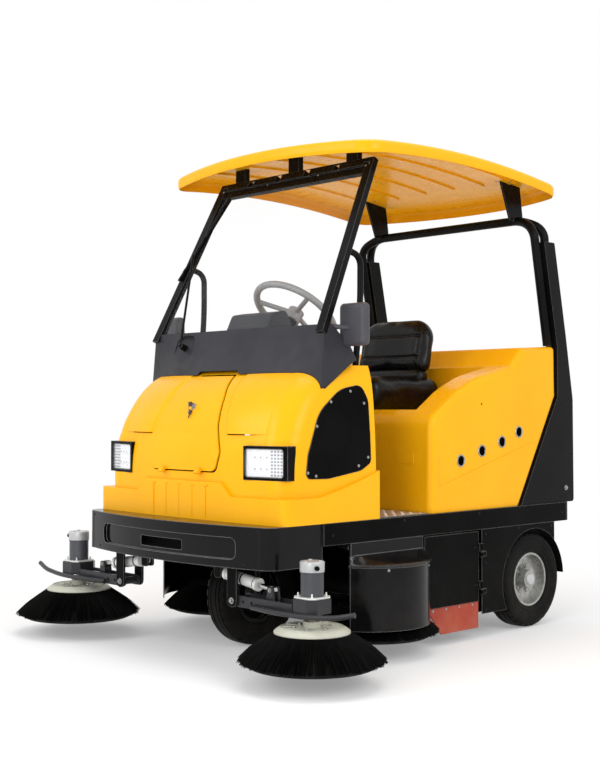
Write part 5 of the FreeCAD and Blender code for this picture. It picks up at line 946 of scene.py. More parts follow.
@dataclass
class Wheels:
    """Tyres with their tread, and the rear hubs' caps and bolts. The half profile is (across, radius)."""

    front_centre: Point = (0.0, -393.0, 200.0)
    rear_centre: Point = (490.0, 700.0, 200.0)
    steps: int = 96
    lug_every: int = 3
    lug_depth: float = 0.0035
    lug_from: float = 0.034
    lug_to: float = 0.0475
    lug_radius: float = 0.189
    half_profile: tuple[Spot, ...] = (
        (11.0, 200.0), (12.5, 194.0), (15.5, 194.0), (17.0, 200.0), (28.5, 199.2), (30.0, 193.5), (33.0, 193.5),
        (34.5, 198.4), (42.0, 194.8), (47.2, 188.0), (49.3, 180.0), (49.6, 172.0), (48.4, 170.6), (48.4, 168.9),
        (49.4, 167.4), (48.9, 155.0), (47.7, 153.6), (47.7, 151.9), (48.5, 150.4), (47.2, 138.0), (46.0, 136.6),
        (46.0, 134.9), (46.6, 133.4), (44.8, 124.0), (43.2, 117.0), (41.6, 112.3))
    hub_face: float = 532.0
    cap_back: float = 0.004
    cap_front: float = 0.006
    cap_radius: float = 0.026
    cap_tip: float = 0.022
    cap_rim: float = 0.002
    bolts: int = 5
    bolt_circle: float = 0.054
    bolt_radius: float = 0.010
    look_from: float = 0.05

    def tyre(self, name: str, centre: Vector, body: str) -> None:
        """Build one tyre.

        Args:
            name: the CAD node that it stands for.
            centre: the wheel's middle.
            body: the body that it rides on.
        """
        form = Form()
        half = [(radius * MM, across * MM) for across, radius in self.half_profile]
        outline = [(radius, -across) for radius, across in reversed(half)] + half
        form.turned(outline, centre, LEFT, self.steps)
        lugs = []
        for face in form.mesh.faces:
            spot = face.calc_center_median() - centre
            around = math.atan2(spot.z, spot.y) % FULL_TURN
            index = int(around / FULL_TURN * self.steps)
            on_shoulder = self.lug_from < abs(spot.x) < self.lug_to and math.hypot(spot.y, spot.z) > self.lug_radius
            if on_shoulder and index % self.lug_every == 0:
                lugs.append(face)
        made = bmesh.ops.extrude_face_region(form.mesh, geom=lugs)["geom"]
        bmesh.ops.delete(form.mesh, geom=[face for face in lugs if face.is_valid], context="FACES_ONLY")
        for vert in [item for item in made if isinstance(item, bmesh.types.BMVert)]:
            spot = vert.co - centre
            vert.co -= Vector((0.0, spot.y, spot.z)).normalized() * self.lug_depth
        form.finish(name + "_tread", RUBBER, body, "tyre_rubber", name)

    def hub(self, side: str, sign: float) -> None:
        """Add the cap and the bolts of one rear hub.

        Args:
            side: the side's name.
            sign: 1 on the left and -1 on the right.
        """
        _, y, z = self.rear_centre
        face = mm(sign * self.hub_face, y, z)
        out = LEFT * sign
        cap = Form()
        cap.soft_bar(face - out * self.cap_back, face + out * self.cap_front, self.cap_radius, self.cap_rim,
                     self.cap_tip, 28)
        cap.finish(f"hub_cap_{side}", CAP_GREY, f"rear_wheel_{side}", "rim_steel")
        bolts = Form()
        skin = Skin(f"rear_rim_{side}")
        for index in range(self.bolts):
            turn = FULL_TURN * index / self.bolts
            spoke = Vector((0.0, math.cos(turn), math.sin(turn)))
            met = skin.meet(face + out * self.look_from + spoke * self.bolt_circle, -out)
            if met is not None:
                add_screw(bolts, met[0], out, self.bolt_radius, Head.HEX)
        bolts.finish(f"wheel_bolts_{side}", ZINC, f"rear_wheel_{side}", "steel")

    def build(self) -> None:
        """Build the three tyres and the rear hubs."""
        self.tyre("front_tyre", mm(*self.front_centre), "front_wheel")
        for side, sign in SIDES:
            x, y, z = self.rear_centre
            self.tyre(f"rear_tyre_{side}", mm(sign * x, y, z), f"rear_wheel_{side}")
            self.hub(side, sign)


FRONT_BRUSH = (692.0, -738.0)
MID_BRUSH = (440.0, -173.0)


@dataclass
class DiscBrush:
    """Bristles of a disc brush, which splay outwards and bend at their tips. Outlines are (radius, height)."""

    name: str
    node: str
    body: str
    centre: Vector
    with_disc: bool = False
    root_from: float = 0.052
    root_to: float = 0.114
    root_z: float = 0.161
    wrap_share: float = 0.62
    wrap_radius: float = 0.1312
    wrap_z: float = 0.176
    tip_from: float = 0.175
    tip_to: float = 0.254
    tip_low: float = 0.060
    tip_high: float = 0.074
    tip_scatter: Spot = (-0.010, 0.002)
    tip_lift: Spot = (0.0, 0.005)
    spread_power: float = 0.8
    lean: float = 0.03
    bow: float = 0.012
    blade: float = 0.0014
    blade_taper: float = 0.9
    blades: int = 290
    sectors: int = 12
    bends_over: float = 0.03
    steps: int = 72
    under: tuple[Spot, ...] = ((0.030, 0.1585), (0.128, 0.1585), (0.1300, 0.174), (0.1325, 0.174), (0.172, 0.142),
                               (0.236, 0.082), (0.212, 0.066), (0.110, 0.128))
    disc: tuple[Spot, ...] = ((0.012, 0.160), (0.128, 0.160), (0.129, 0.182), (0.112, 0.194), (0.030, 0.194),
                              (0.030, 0.214), (0.012, 0.214))

    def add_blade(self, form: Form, draw: random.Random) -> None:
        """Add one straight blade to the first sector.

        Args:
            form: the shape that takes it.
            draw: the source of the chance measures.
        """
        share = draw.random() ** self.spread_power
        turn = draw.random() * (FULL_TURN / self.sectors)
        lean = turn + draw.uniform(-self.lean, self.lean)
        outermost = share > self.wrap_share
        inner = self.wrap_radius if outermost else self.root_from + share * (self.root_to - self.root_from)
        outer = self.tip_from + share * (self.tip_to - self.tip_from) + draw.uniform(*self.tip_scatter)
        height = self.tip_low + share * (self.tip_high - self.tip_low) + draw.uniform(*self.tip_lift)
        root = self.wrap_z if outermost else self.root_z
        start = self.centre + Vector((inner * math.cos(turn), inner * math.sin(turn), root))
        end = self.centre + Vector((outer * math.cos(lean), outer * math.sin(lean), height))
        form.bar(start, end, self.blade, self.blade * self.blade_taper, 3)

    def build(self) -> None:
        """Build one sector of blades, repeat it round the axis and add the layer under them."""
        form = Form()
        draw = random.Random(self.name)
        for _ in range(self.blades):
            self.add_blade(form, draw)
        long_edges = [edge for edge in form.mesh.edges if edge.calc_length() > self.bends_over]
        bmesh.ops.subdivide_edges(form.mesh, edges=long_edges, cuts=2)
        for vert in form.mesh.verts:
            fall = (self.root_z - (vert.co.z - self.centre.z)) / (self.root_z - self.tip_low)
            vert.co.z += self.bow * 4.0 * max(fall, 0.0) * max(1.0 - fall, 0.0)
        form.round_the_axis(self.centre, UP, self.sectors)
        form.turned(self.under, self.centre, UP, self.steps)
        if self.with_disc:
            form.turned(self.disc, self.centre, UP, self.steps)
        form.finish(self.name, BRISTLE, self.body, "bristle", self.node)


@dataclass
class BrushGear:
    """What shows on a front brush: its motor's cap, gland and flange, its hub, its pins and the actuator's bands."""

    axis: Spot = FRONT_BRUSH
    cap_span: Spot = (376.0, 413.0)
    cap_radius: float = 41.8
    cap_rim: float = 0.004
    lobes: int = 3
    lobe_turn: float = 0.5
    lobe_circle: float = 30.0
    lobe_span: Spot = (400.0, 416.0)
    lobe_radius: float = 0.008
    lobe_tip: float = 0.007
    lobe_rim: float = 0.0015
    gland: Point = (36.0, -16.0, 393.0)
    gland_nut: Spot = (12.0, -5.0)
    gland_nut_radius: float = 0.0085
    gland_hole: Spot = (14.0, -5.8)
    gland_hole_radius: float = 0.006
    flange_span: Spot = (291.0, 296.6)
    flange_half: float = 50.6
    flange_bevel: float = 16.4
    stud_circle: float = 41.0
    stud_outset: float = 4.0
    stud_foot: float = 296.0
    stud_washer: float = 0.0065
    stud_length: float = 0.013
    stud_radius: float = 0.003
    disc_bolts: int = 6
    disc_bolt_circle: float = 62.0
    disc_bolt_foot: float = 194.2
    disc_bolt_radius: float = 0.008
    ribs: int = 12
    rib_low: Point = (36.0, -1.6, 193.0)
    rib_high: Point = (104.0, 1.6, 196.5)
    rib_ring: float = 0.106
    rib_ring_z: float = 194.6
    rib_ring_wire: float = 0.0022
    look_from: float = -900.0
    pins: tuple[Point, ...] = ((335.0, 246.0, 12.0), (500.0, 296.0, 8.0))
    rod_tail: Spot = (225.0, 335.0)
    rod_eye: Spot = (500.0, 296.0)
    fork_nut: Spot = (0.240, 0.252)
    fork_nut_radius: float = 0.0095
    bands: tuple[Spot, ...] = ((0.060, 0.0222), (0.120, 0.0216), (0.186, 0.0222))
    band_width: float = 0.007
    band_rim: float = 0.001
    fine_rim: float = 0.0008

    def place(self, sign: float, x: float, y: float, z: float) -> Vector:
        """Return a point beside the brush's axis on one side."""
        return mm(sign * (self.axis[0] + x), self.axis[1] + y, z)

    def motor(self, side: str, sign: float) -> None:
        """Add the light cap with its three lobes and the cable's gland.

        Args:
            side: the side's name.
            sign: 1 on the left and -1 on the right.
        """
        body = f"front_arm_{side}"
        cap = Form()
        low, high = self.cap_span
        cap.soft_bar(self.place(sign, 0, 0, low), self.place(sign, 0, 0, high), self.cap_radius * MM, self.cap_rim,
                     segments=64, steps=3)
        low, high = self.lobe_span
        for index in range(self.lobes):
            turn = FULL_TURN * index / self.lobes + self.lobe_turn
            x, y = self.lobe_circle * math.cos(turn), self.lobe_circle * math.sin(turn)
            cap.soft_bar(self.place(sign, x, y, low), self.place(sign, x, y, high), self.lobe_radius, self.lobe_rim,
                         self.lobe_tip)
        cap.finish(f"motor_cap_{side}", CAP_GREY, body, "motor_metal")
        gland = Form()
        start = self.place(sign, *self.gland)
        x, y = self.gland_nut
        gland.soft_bar(start, start + mm(sign * x, y, 0.0), self.gland_nut_radius, 0.001, segments=6)
        x, y = self.gland_hole
        gland.soft_bar(start, start + mm(sign * x, y, 0.0), self.gland_hole_radius, self.fine_rim)
        gland.finish(f"cable_gland_{side}", SOFT_BLACK, body, "black_plastic")

    def flange(self, side: str, sign: float) -> None:
        """Add the bright flange and its studs.

        Args:
            side: the side's name.
            sign: 1 on the left and -1 on the right.
        """
        form = Form()
        low, high = self.flange_span
        half = mm(self.flange_half, self.flange_half, 0.0)
        form.block(self.place(sign, 0, 0, low) - half, self.place(sign, 0, 0, high) + half)
        form.bevel_along(2, 0.002, self.flange_bevel * MM, 1)
        reach = self.stud_circle * math.sqrt(0.5) + self.stud_outset
        for x, y in ((1, 1), (1, -1), (-1, 1), (-1, -1)):
            foot = self.place(sign, x * reach, y * reach, self.stud_foot)
            add_screw(form, foot, UP, self.stud_washer, Head.HEX)
            form.bar(foot, foot + UP * self.stud_length, self.stud_radius, segments=12)
        form.finish(f"motor_flange_{side}", WHITE_TUBE, f"front_arm_{side}", "steel")

    def hub(self, side: str, sign: float) -> None:
        """Add the bolts and the ribs on the disc.

        Args:
            side: the side's name.
            sign: 1 on the left and -1 on the right.
        """
        body = f"front_brush_{side}"
        bolts = Form()
        for index in range(self.disc_bolts):
            turn = FULL_TURN * index / self.disc_bolts
            x, y = self.disc_bolt_circle * math.cos(turn), self.disc_bolt_circle * math.sin(turn)
            add_screw(bolts, self.place(sign, x, y, self.disc_bolt_foot), UP, self.disc_bolt_radius, Head.HEX)
        bolts.finish(f"disc_bolts_{side}", ZINC, body, "steel")
        ribs = Form()
        middle = Matrix.Translation(self.place(sign, 0, 0, 0))
        for index in range(self.ribs):
            turn = Matrix.Rotation(FULL_TURN * (index + 0.5) / self.ribs, 4, "Z")
            ribs.soft_block(mm(*self.rib_low), mm(*self.rib_high), self.fine_rim, middle @ turn, 1)
        ribs.hoop(self.place(sign, 0, 0, self.rib_ring_z), UP, self.rib_ring, self.rib_ring_wire, 72)
        ribs.finish(f"disc_ribs_{side}", DISC_GREY, body, "disc_plastic")

    def linkage(self, side: str, sign: float) -> None:
        """Add the heads of the arm's pins, the nut behind the rod's fork and the actuator's bands.

        Args:
            side: the side's name.
            sign: 1 on the left and -1 on the right.
        """
        skin = Skin(f"brush_arm_{side}", "brush_lugs")
        pins = Form()
        for x, z, radius in self.pins:
            met = skin.meet(mm(sign * x, self.look_from, z), REAR)
            if met is not None:
                add_screw(pins, met[0], -REAR, radius * MM, Head.HEX)
        pins.finish(f"arm_pins_{side}", ZINC, f"front_arm_{side}", "steel")
        (tail_x, tail_z), (eye_x, eye_z) = self.rod_tail, self.rod_eye
        run = (mm(eye_x, 0.0, eye_z) - mm(tail_x, 0.0, tail_z)).normalized()
        run.x *= sign
        start = mm(sign * tail_x, self.axis[1], tail_z)
        fork = Form()
        low, high = self.fork_nut
        fork.soft_bar(start + run * low, start + run * high, self.fork_nut_radius, self.fine_rim, segments=6)
        fork.finish(f"actuator_fork_{side}", YELLOW_ZINC, f"actuator_slide_{side}", "steel")
        tail = Form()
        for at, wide in self.bands:
            tail.soft_bar(start + run * at, start + run * (at + self.band_width), wide, self.band_rim, segments=40)
        tail.finish(f"actuator_bands_{side}", SOFT_BLACK, f"actuator_{side}", "black_plastic")

    def build(self) -> None:
        """Dress both sides."""
        for side, sign in SIDES:
            self.motor(side, sign)
            self.flange(side, sign)
            self.hub(side, sign)
            self.linkage(side, sign)


@dataclass
class Roller:
    """Main roller: a core with rows of bristle tufts wound round it."""

    centre: Vector = field(default_factory=lambda: mm(0.0, 200.0, 155.0))
    core: float = 0.072
    outer: float = 0.139
    half: float = 0.266
    rows: int = 12
    pitch: float = 0.0085
    tuft: int = 4
    twist: float = 0.5
    lean: float = 0.03
    scatter: float = 0.003
    root_share: float = 0.96
    blade: float = 0.0014
    blade_tip: float = 0.0009
    rim: float = 0.004
    shaft: float = 0.012
    bore: float = 0.004
    shaft_half: float = 0.293

    def build(self) -> None:
        """Build one row of tufts, repeat it and add the core with its shaft."""
        form = Form()
        draw = random.Random("roller")
        count = int(2 * self.half / self.pitch)
        for index in range(count + 1):
            x = -self.half + index * self.pitch
            twist = self.twist * abs(x) / self.half
            for _ in range(self.tuft):
                turn = twist + draw.uniform(-self.lean, self.lean)
                out = Vector((0.0, math.cos(turn), math.sin(turn)))
                base = self.centre + LEFT * (x + draw.uniform(-self.scatter, self.scatter))
                tip = self.outer - draw.uniform(0.0, self.scatter)
                form.bar(base + out * self.core * self.root_share, base + out * tip, self.blade, self.blade_tip, 3)
        form.round_the_axis(self.centre, LEFT, self.rows)
        end = self.half + self.rim
        drum = [(self.shaft, -end), (self.core, -end), (self.core, end), (self.shaft, end),
                (self.shaft, self.shaft_half), (self.bore, self.shaft_half), (self.bore, -self.shaft_half),
                (self.shaft, -self.shaft_half)]
        form.turned(drum, self.centre, LEFT, 48)
        form.finish("roller_tufts", BRISTLE, "main_roller_body", "bristle", "main_roller")


@dataclass
class Lamps:
    """What shows behind a headlamp's lens. Places are (across, up) in the lamp's own frame, in millimetres."""

    middle: Spot = (430.0, -706.0)
    turn_deg: float = 11.5
    low: Spot = (-88.0, 680.0)
    high: Spot = (75.0, 777.0)
    plate: Spot = (-1.8, -0.4)
    ridges: int = 15
    ridge_first: float = 6.0
    ridge_pitch: float = 6.2
    ridge_low: Spot = (-86.0, -2.5)
    ridge_high: Spot = (-66.0, -1.6)
    ridge_height: float = 2.4
    cups: tuple[Spot, ...] = ((-48.0, 708.0), (-48.0, 749.0), (-22.0, 708.0), (-22.0, 749.0), (4.0, 708.0),
                              (4.0, 749.0))
    foot: float = -1.7
    cup_rise: float = 0.0026
    cup_radius: float = 0.0115
    cup_tip: float = 0.0095
    bulb_foot: float = -3.6
    bulb_rise: float = 0.0012
    bulb_radius: float = 0.0035
    bulb_tip: float = 0.003
    chip_columns: int = 4
    chip_rows: int = 8
    chip_first: Spot = (24.0, 687.0)
    chip_pitch: Spot = (14.0, 11.8)
    chip_low: Point = (-4.2, -1.2, -3.4)
    chip_high: Point = (4.2, 0.0, 3.4)

    def faces(self, place: Matrix, out: Vector) -> None:
        """Build the white faces with their ridges and cups.

        Args:
            place: the left lamp's frame.
            out: the way that the lamp faces.
        """
        face = Form()
        back, front = self.plate
        (low_x, low_z), (high_x, high_z) = self.low, self.high
        face.soft_block(mm(low_x, back, low_z), mm(high_x, front, high_z), 0.0005, place, 1)
        for index in range(self.ridges):
            z = low_z + self.ridge_first + index * self.ridge_pitch
            face.block(mm(*self.ridge_low, z), mm(*self.ridge_high, z + self.ridge_height), place)
        for x, z in self.cups:
            spot = place @ mm(x, self.foot, z)
            face.soft_bar(spot, spot + out * self.cup_rise, self.cup_radius, 0.0006, self.cup_tip, 28, 1)
        face.both_sides()
        face.finish("lamp_faces", LAMP_WHITE, "chassis", "lamp_lens")

    def chips(self, place: Matrix, out: Vector) -> None:
        """Build the bulbs in the cups and the field of chips.

        Args:
            place: the left lamp's frame.
            out: the way that the lamp faces.
        """
        chips = Form()
        for x, z in self.cups:
            spot = place @ mm(x, self.bulb_foot, z)
            chips.bar(spot, spot + out * self.bulb_rise, self.bulb_radius, self.bulb_tip, 12)
        turn = place.to_3x3().to_4x4()
        (first_x, first_z), (pitch_x, pitch_z) = self.chip_first, self.chip_pitch
        for column in range(self.chip_columns):
            for row in range(self.chip_rows):
                spot = place @ mm(first_x + column * pitch_x, self.foot, first_z + row * pitch_z)
                chips.block(mm(*self.chip_low), mm(*self.chip_high), Matrix.Translation(spot) @ turn)
        chips.both_sides()
        chips.finish("lamp_chips", LAMP_CHIP, "chassis", "lamp_lens")

    def build(self) -> None:
        """Build what is in both lamps."""
        place = Matrix.Translation(mm(*self.middle, 0.0)) @ Matrix.Rotation(math.radians(self.turn_deg), 4, "Z")
        out = (place.to_3x3() @ -REAR).normalized()
        self.faces(place, out)
        self.chips(place, out)


@dataclass(frozen=True)
class Key:
    """One key of the door's lock: how far it hangs, how it leans, and the corners of its stem."""

    drop: float
    lean: float
    stem_low: Point
    stem_high: Point


@dataclass
class ShellTrim:
    """Small pieces on the yellow mouldings, and dark sheets of painted shade behind their openings. Places are in
    millimetres.
    """

    vents: tuple[Spot, ...] = ((232.0, 713.0), (366.0, 749.0), (498.0, 783.0), (614.0, 822.0))
    vent_radius: float = 22.5
    ring_x: float = 540.0
    ring_inset: float = 0.4
    ring_wire: float = 0.0034
    grille_span: Spot = (520.0, 524.0)
    grille_cover: float = 1.2
    slat_x: float = 530.0
    slat_pitch: float = 6.0
    slats_beside: int = 3
    slat_turn: float = 0.6
    slat_half: Spot = (5.0, 0.7)
    slat_gap: float = 1.0
    # Rail of the black sheet of painted shade behind the access door.
    shade_sheet_rail: tuple[Spot, ...] = ((-716.0, 676.0), (-706.0, 780.0), (-693.0, 829.0), (-676.0, 885.0), (-645.0, 940.0),
                                (-598.0, 1000.0), (-545.0, 1040.0), (-500.0, 1058.0), (-430.0, 1066.0))
    shade_sheet_half: float = 225.0
    wall: float = 0.002
    lock_look: Point = (0.0, -900.0, 928.0)
    collar_back: float = 0.004
    collar_front: float = 0.003
    collar_radius: float = 0.013
    plug_front: float = 0.006
    plug_radius: float = 0.0085
    keys: tuple[Key, ...] = (Key(0.0, 0.15, (-1.0, -3.0, -3.0), (1.0, 16.0, 3.0)),
                             Key(0.030, -0.4, (-1.0, -3.0, -24.0), (1.0, 3.0, -8.0)))
    lock_rim: float = 0.001
    fine_rim: float = 0.0008
    key_half: Point = (1.6, 9.0, 9.0)
    key_rim: float = 0.0022
    key_out: float = 0.020
    key_ring: float = 0.010
    key_ring_wire: float = 0.0008
    key_ring_drop: float = 0.015
    wheel: Point = (0.0, 700.0, 200.0)
    guard_radius: float = 219.0
    guard_span: Spot = (428.0, 546.5)
    guard_from: float = 3.0
    guard_to: float = 176.0
    bumper_slot: tuple[Point, Point] = ((-170.0, -784.0, 368.0), (170.0, -780.0, 480.0))
    door_seams: tuple[tuple[Point, Point], ...] = (((524.0, 300.0, 100.0), (528.0, 398.0, 428.0)),
                                                   ((524.0, -30.0, 100.0), (528.0, 12.0, 428.0)))
    hole: tuple[Point, Point] = ((500.0, 366.0, 938.0), (537.0, 366.0, 938.0))
    hole_radius: float = 0.0058

    def vent_rims(self) -> None:
        """Ring every vent and close it with a dark grille."""
        rims, grilles = Form(), Form()
        back, front = self.grille_span
        deep, thin = self.slat_half
        for y, z in self.vents:
            rims.hoop(mm(self.ring_x, y, z), LEFT, (self.vent_radius - self.ring_inset) * MM, self.ring_wire, 56)
            grilles.soft_bar(mm(back, y, z), mm(front, y, z), self.vent_radius * MM * self.grille_cover, 0.0005,
                             segments=40, steps=1)
            for step in range(-self.slats_beside, self.slats_beside + 1):
                up = step * self.slat_pitch
                half = math.sqrt(self.vent_radius ** 2 - up ** 2) - self.slat_gap
                slat = Matrix.Translation(mm(self.slat_x, y, z + up)) @ Matrix.Rotation(self.slat_turn, 4, "Y")
                grilles.block(mm(-deep, -half, -thin), mm(deep, half, thin), slat)
        rims.both_sides()
        rims.finish("vent_rims", ZINC, "chassis", "steel")
        grilles.both_sides()
        grilles.finish("vent_grilles", SOFT_BLACK, "chassis", "black_plastic")

    def door_shade_sheet(self) -> None:
        """Hang a dark sheet of painted shade behind the access door, so that its seams stay dark."""
        # A black sheet that stands in for the shade inside the door's opening.
        form = Form()
        rail = [form.mesh.verts.new(mm(-self.shade_sheet_half, y, z)) for y, z in self.shade_sheet_rail]
        edges = [form.mesh.edges.new(ends) for ends in zip(rail, rail[1:])]
        made = bmesh.ops.extrude_edge_only(form.mesh, edges=edges)["geom"]
        moved = [item for item in made if isinstance(item, bmesh.types.BMVert)]
        bmesh.ops.translate(form.mesh, verts=moved, vec=mm(2 * self.shade_sheet_half, 0.0, 0.0))
        form.thicken(self.wall)
        form.finish("door_shade_sheet", SOFT_BLACK, "chassis", "black_plastic")

    def lock(self) -> None:
        """Set the lock with its keys in the access door."""
        point, normal = Skin("access_door").meet(mm(*self.lock_look), REAR)
        barrel = Form()
        barrel.soft_bar(point - normal * self.collar_back, point + normal * self.collar_front, self.collar_radius,
                        self.lock_rim, segments=32)
        barrel.soft_bar(point, point + normal * self.plug_front, self.plug_radius, self.fine_rim, segments=28)
        barrel.finish("door_lock", ZINC, "access_door_body", "steel")
        keys = Form()
        bow = point + normal * self.key_out
        half = mm(*self.key_half)
        for key in self.keys:
            place = Matrix.Translation(bow - UP * key.drop) @ Matrix.Rotation(key.lean, 4, "X")
            keys.soft_block(-half, half, self.key_rim, place)
            keys.soft_block(mm(*key.stem_low), mm(*key.stem_high), 0.0005, place, 1)
        keys.hoop(bow - UP * self.key_ring_drop, LEFT, self.key_ring, self.key_ring_wire, 24)
        keys.finish("door_keys", MOTOR_GREY, "access_door_body", "steel")

    def fender(self) -> None:
        """Arch a dark inner guard over each rear wheel."""
        form = Form()
        first = math.radians(self.guard_from)
        reach = Vector((0.0, math.cos(first), math.sin(first))) * self.guard_radius * MM
        middle = mm(*self.wheel)
        ends = [form.mesh.verts.new(middle + reach + LEFT * x * MM) for x in self.guard_span]
        edge = form.mesh.edges.new(ends)
        bmesh.ops.spin(form.mesh, geom=[*ends, edge], cent=middle, axis=LEFT, dvec=NO_SHIFT,
                       angle=math.radians(self.guard_to - self.guard_from), steps=40)
        form.thicken(self.wall)
        form.both_sides()
        form.finish("wheel_guards", SOFT_BLACK, "chassis", "black_steel")

    def shade_sheets(self) -> None:
        """Close the bumper's slot and the seams round the side doors with dark sheets of painted shade."""
        # Black blocks that stand in for the shade inside the bumper's slot and the door seams.
        slot = Form()
        low, high = self.bumper_slot
        slot.block(mm(*low), mm(*high))
        slot.finish("bumper_slot_shade_sheet", SOFT_BLACK, "chassis", "black_plastic")
        backs = Form()
        for low, high in self.door_seams:
            backs.block(mm(*low), mm(*high))
        backs.both_sides()
        backs.finish("seam_shade_sheets", SOFT_BLACK, "chassis", "black_steel")

    def build(self) -> None:
        """Build the trim of the front shell and the rear body."""
        self.vent_rims()
        self.door_shade_sheet()
        self.lock()
        self.shade_sheets()
        self.fender()
        plug = Form()
        start, end = self.hole
        plug.soft_bar(mm(*start), mm(*end), self.hole_radius, self.fine_rim)
        plug.finish("body_plug", SOFT_BLACK, "chassis", "black_plastic")


@dataclass
class FloorPlate:
    """Bright tread plate with its raised pattern."""

    low: Point = (-533.0, -244.0, 516.0)
    high: Point = (533.0, 40.0, 516.8)
    pitch: float = 24.0
    first: Spot = (0.7, 0.6)
    bead: Point = (10.0, 2.6, 1.5)
    turn_deg: float = 45.0

    def build(self) -> None:
        """Lay the sheet and its beads, each turned across its neighbours."""
        form = Form()
        form.block(mm(*self.low), mm(*self.high))
        across = int((self.high[0] - self.low[0]) / self.pitch)
        along = int((self.high[1] - self.low[1]) / self.pitch)
        first_x, first_y = self.first
        for column in range(across):
            for row in range(along):
                spot = mm(self.low[0] + (column + first_x) * self.pitch,
                          self.low[1] + (row + first_y) * self.pitch, self.high[2])
                turn = math.radians(self.turn_deg if (column + row) % 2 else -self.turn_deg)
                form.bead(spot, mm(*self.bead), turn)
        form.finish("tread_plate", CHEQUER, "chassis", "steel")


@dataclass
class CabTrim:
    """Wiper rubber, mirror glass, dash display, wheel's cap and the red switch by the seat."""

    screen_foot: Spot = (-487.0, 1235.0)
    screen_head: Spot = (-171.0, 1883.0)
    blade: tuple[Spot, Spot] = ((-470.0, 240.0), (-340.0, 640.0))
    blade_inset: float = 6.0
    strip_half: float = 4.0
    strip_span: Spot = (1.5, 8.0)
    lip_half: float = 0.8
    lip_span: Spot = (0.2, 3.0)
    clips: tuple[float, ...] = (0.12, 0.5, 0.88)
    clip_half: Spot = (6.5, 9.0)
    clip_span: Spot = (7.0, 18.0)
    soft_rim: float = 0.002
    pivot: Point = (-280.0, -75.0, 14.0)
    pivot_out: float = 0.002
    pivot_nut: float = 0.011
    mirror_low: Point = (484.0, -350.6, 1160.0)
    mirror_high: Point = (590.0, -349.2, 1294.0)
    mirror_corner: float = 0.012
    pod_foot: Spot = (325.0, 1240.0)
    pod_head: Spot = (290.0, 1304.0)
    display: Point = (0.0, -307.5, 1272.0)
    display_low: Point = (-100.0, -1.0, -24.0)
    display_high: Point = (100.0, 3.2, 24.0)
    switches: tuple[float, ...] = (-78.0, -52.0, 52.0, 78.0)
    switch_half: Spot = (9.0, 14.0)
    switch_span: Spot = (2.0, 8.0)
    steer: Point = (0.0, -162.0, 1306.0)
    steer_tilt: float = math.radians(38.7)
    cap_span: Spot = (0.010, 0.018)
    cap_radius: float = 0.030
    cap_tip: float = 0.025
    dome_rim: float = 0.003
    stop: Spot = (-300.0, 60.0)
    stop_base: Spot = (914.0, 921.0)
    stop_base_radius: float = 0.019
    stop_base_rim: float = 0.0015
    stop_top: Spot = (920.0, 938.0)
    stop_stem: float = 0.013
    stop_crown: float = 0.016

    def wiper(self) -> None:
        """Add the blade's rubber, its clips and the nut of the arm."""
        (foot_y, foot_z), (head_y, head_z) = self.screen_foot, self.screen_head
        rise = math.atan2(head_z - foot_z, head_y - foot_y)
        screen = Matrix.Translation(mm(0.0, foot_y, foot_z)) @ Matrix.Rotation(rise, 4, "X")
        low, high = [mm(x, up, 0.0) for x, up in self.blade]
        run = high - low
        lie = screen @ (Matrix.Translation(low) @ run.to_track_quat("Y", "Z").to_matrix().to_4x4())
        start, end = self.blade_inset, run.length / MM - self.blade_inset
        rubber = Form()
        back, front = self.strip_span
        rubber.soft_block(mm(-self.strip_half, start, back), mm(self.strip_half, end, front), 0.001, lie)
        back, front = self.lip_span
        rubber.block(mm(-self.lip_half, start, back), mm(self.lip_half, end, front), lie)
        (wide, long), (back, front) = self.clip_half, self.clip_span
        for share in self.clips:
            at = share * run.length / MM
            rubber.soft_block(mm(-wide, at - long, back), mm(wide, at + long, front), self.soft_rim, lie)
        rubber.finish("wiper_rubber", SOFT_BLACK, "wiper_body", "black_plastic")
        nut = Form()
        out = (screen.to_3x3() @ UP).normalized()
        add_screw(nut, screen @ mm(*self.pivot) + out * self.pivot_out, out, self.pivot_nut, Head.HEX)
        nut.finish("wiper_nut", BLACKENED, "wiper_body", "steel")

    def mirrors(self) -> None:
        """Set a silvered glass in the rear face of each mirror."""
        form = Form()
        form.block(mm(*self.mirror_low), mm(*self.mirror_high))
        form.bevel_along(1, 0.0005, self.mirror_corner, 5)
        form.both_sides()
        form.finish("mirror_glasses", SILVERED, "chassis", "black_plastic")

    def dash(self) -> None:
        """Add the display on the instrument pod and its row of switches."""
        (foot_y, foot_z), (head_y, head_z) = self.pod_foot, self.pod_head
        lean = math.atan2(head_z - foot_z, foot_y - head_y)
        place = Matrix.Translation(mm(*self.display)) @ Matrix.Rotation(math.pi / 2 - lean, 4, "X")
        panel = Form()
        panel.soft_block(mm(*self.display_low), mm(*self.display_high), self.soft_rim, place)
        panel.finish("dash_panel", GLOSS_BLACK, "chassis", "black_plastic")
        switches = Form()
        (wide, tall), (back, front) = self.switch_half, self.switch_span
        for x in self.switches:
            switches.soft_block(mm(x - wide, back, -tall), mm(x + wide, front, tall), self.soft_rim, place)
        switches.finish("dash_switches", WHEEL_GREY, "chassis", "black_plastic")

    def wheel_cap(self) -> None:
        """Close the steering wheel's boss with a domed cap."""
        axis = Vector((0.0, math.sin(self.steer_tilt), math.cos(self.steer_tilt)))
        hub = mm(*self.steer)
        low, high = self.cap_span
        form = Form()
        form.soft_bar(hub + axis * low, hub + axis * high, self.cap_radius, self.dome_rim, self.cap_tip, 40, 3)
        form.finish("steering_cap", SOFT_BLACK, "steering_wheel_body", "wheel_grey")

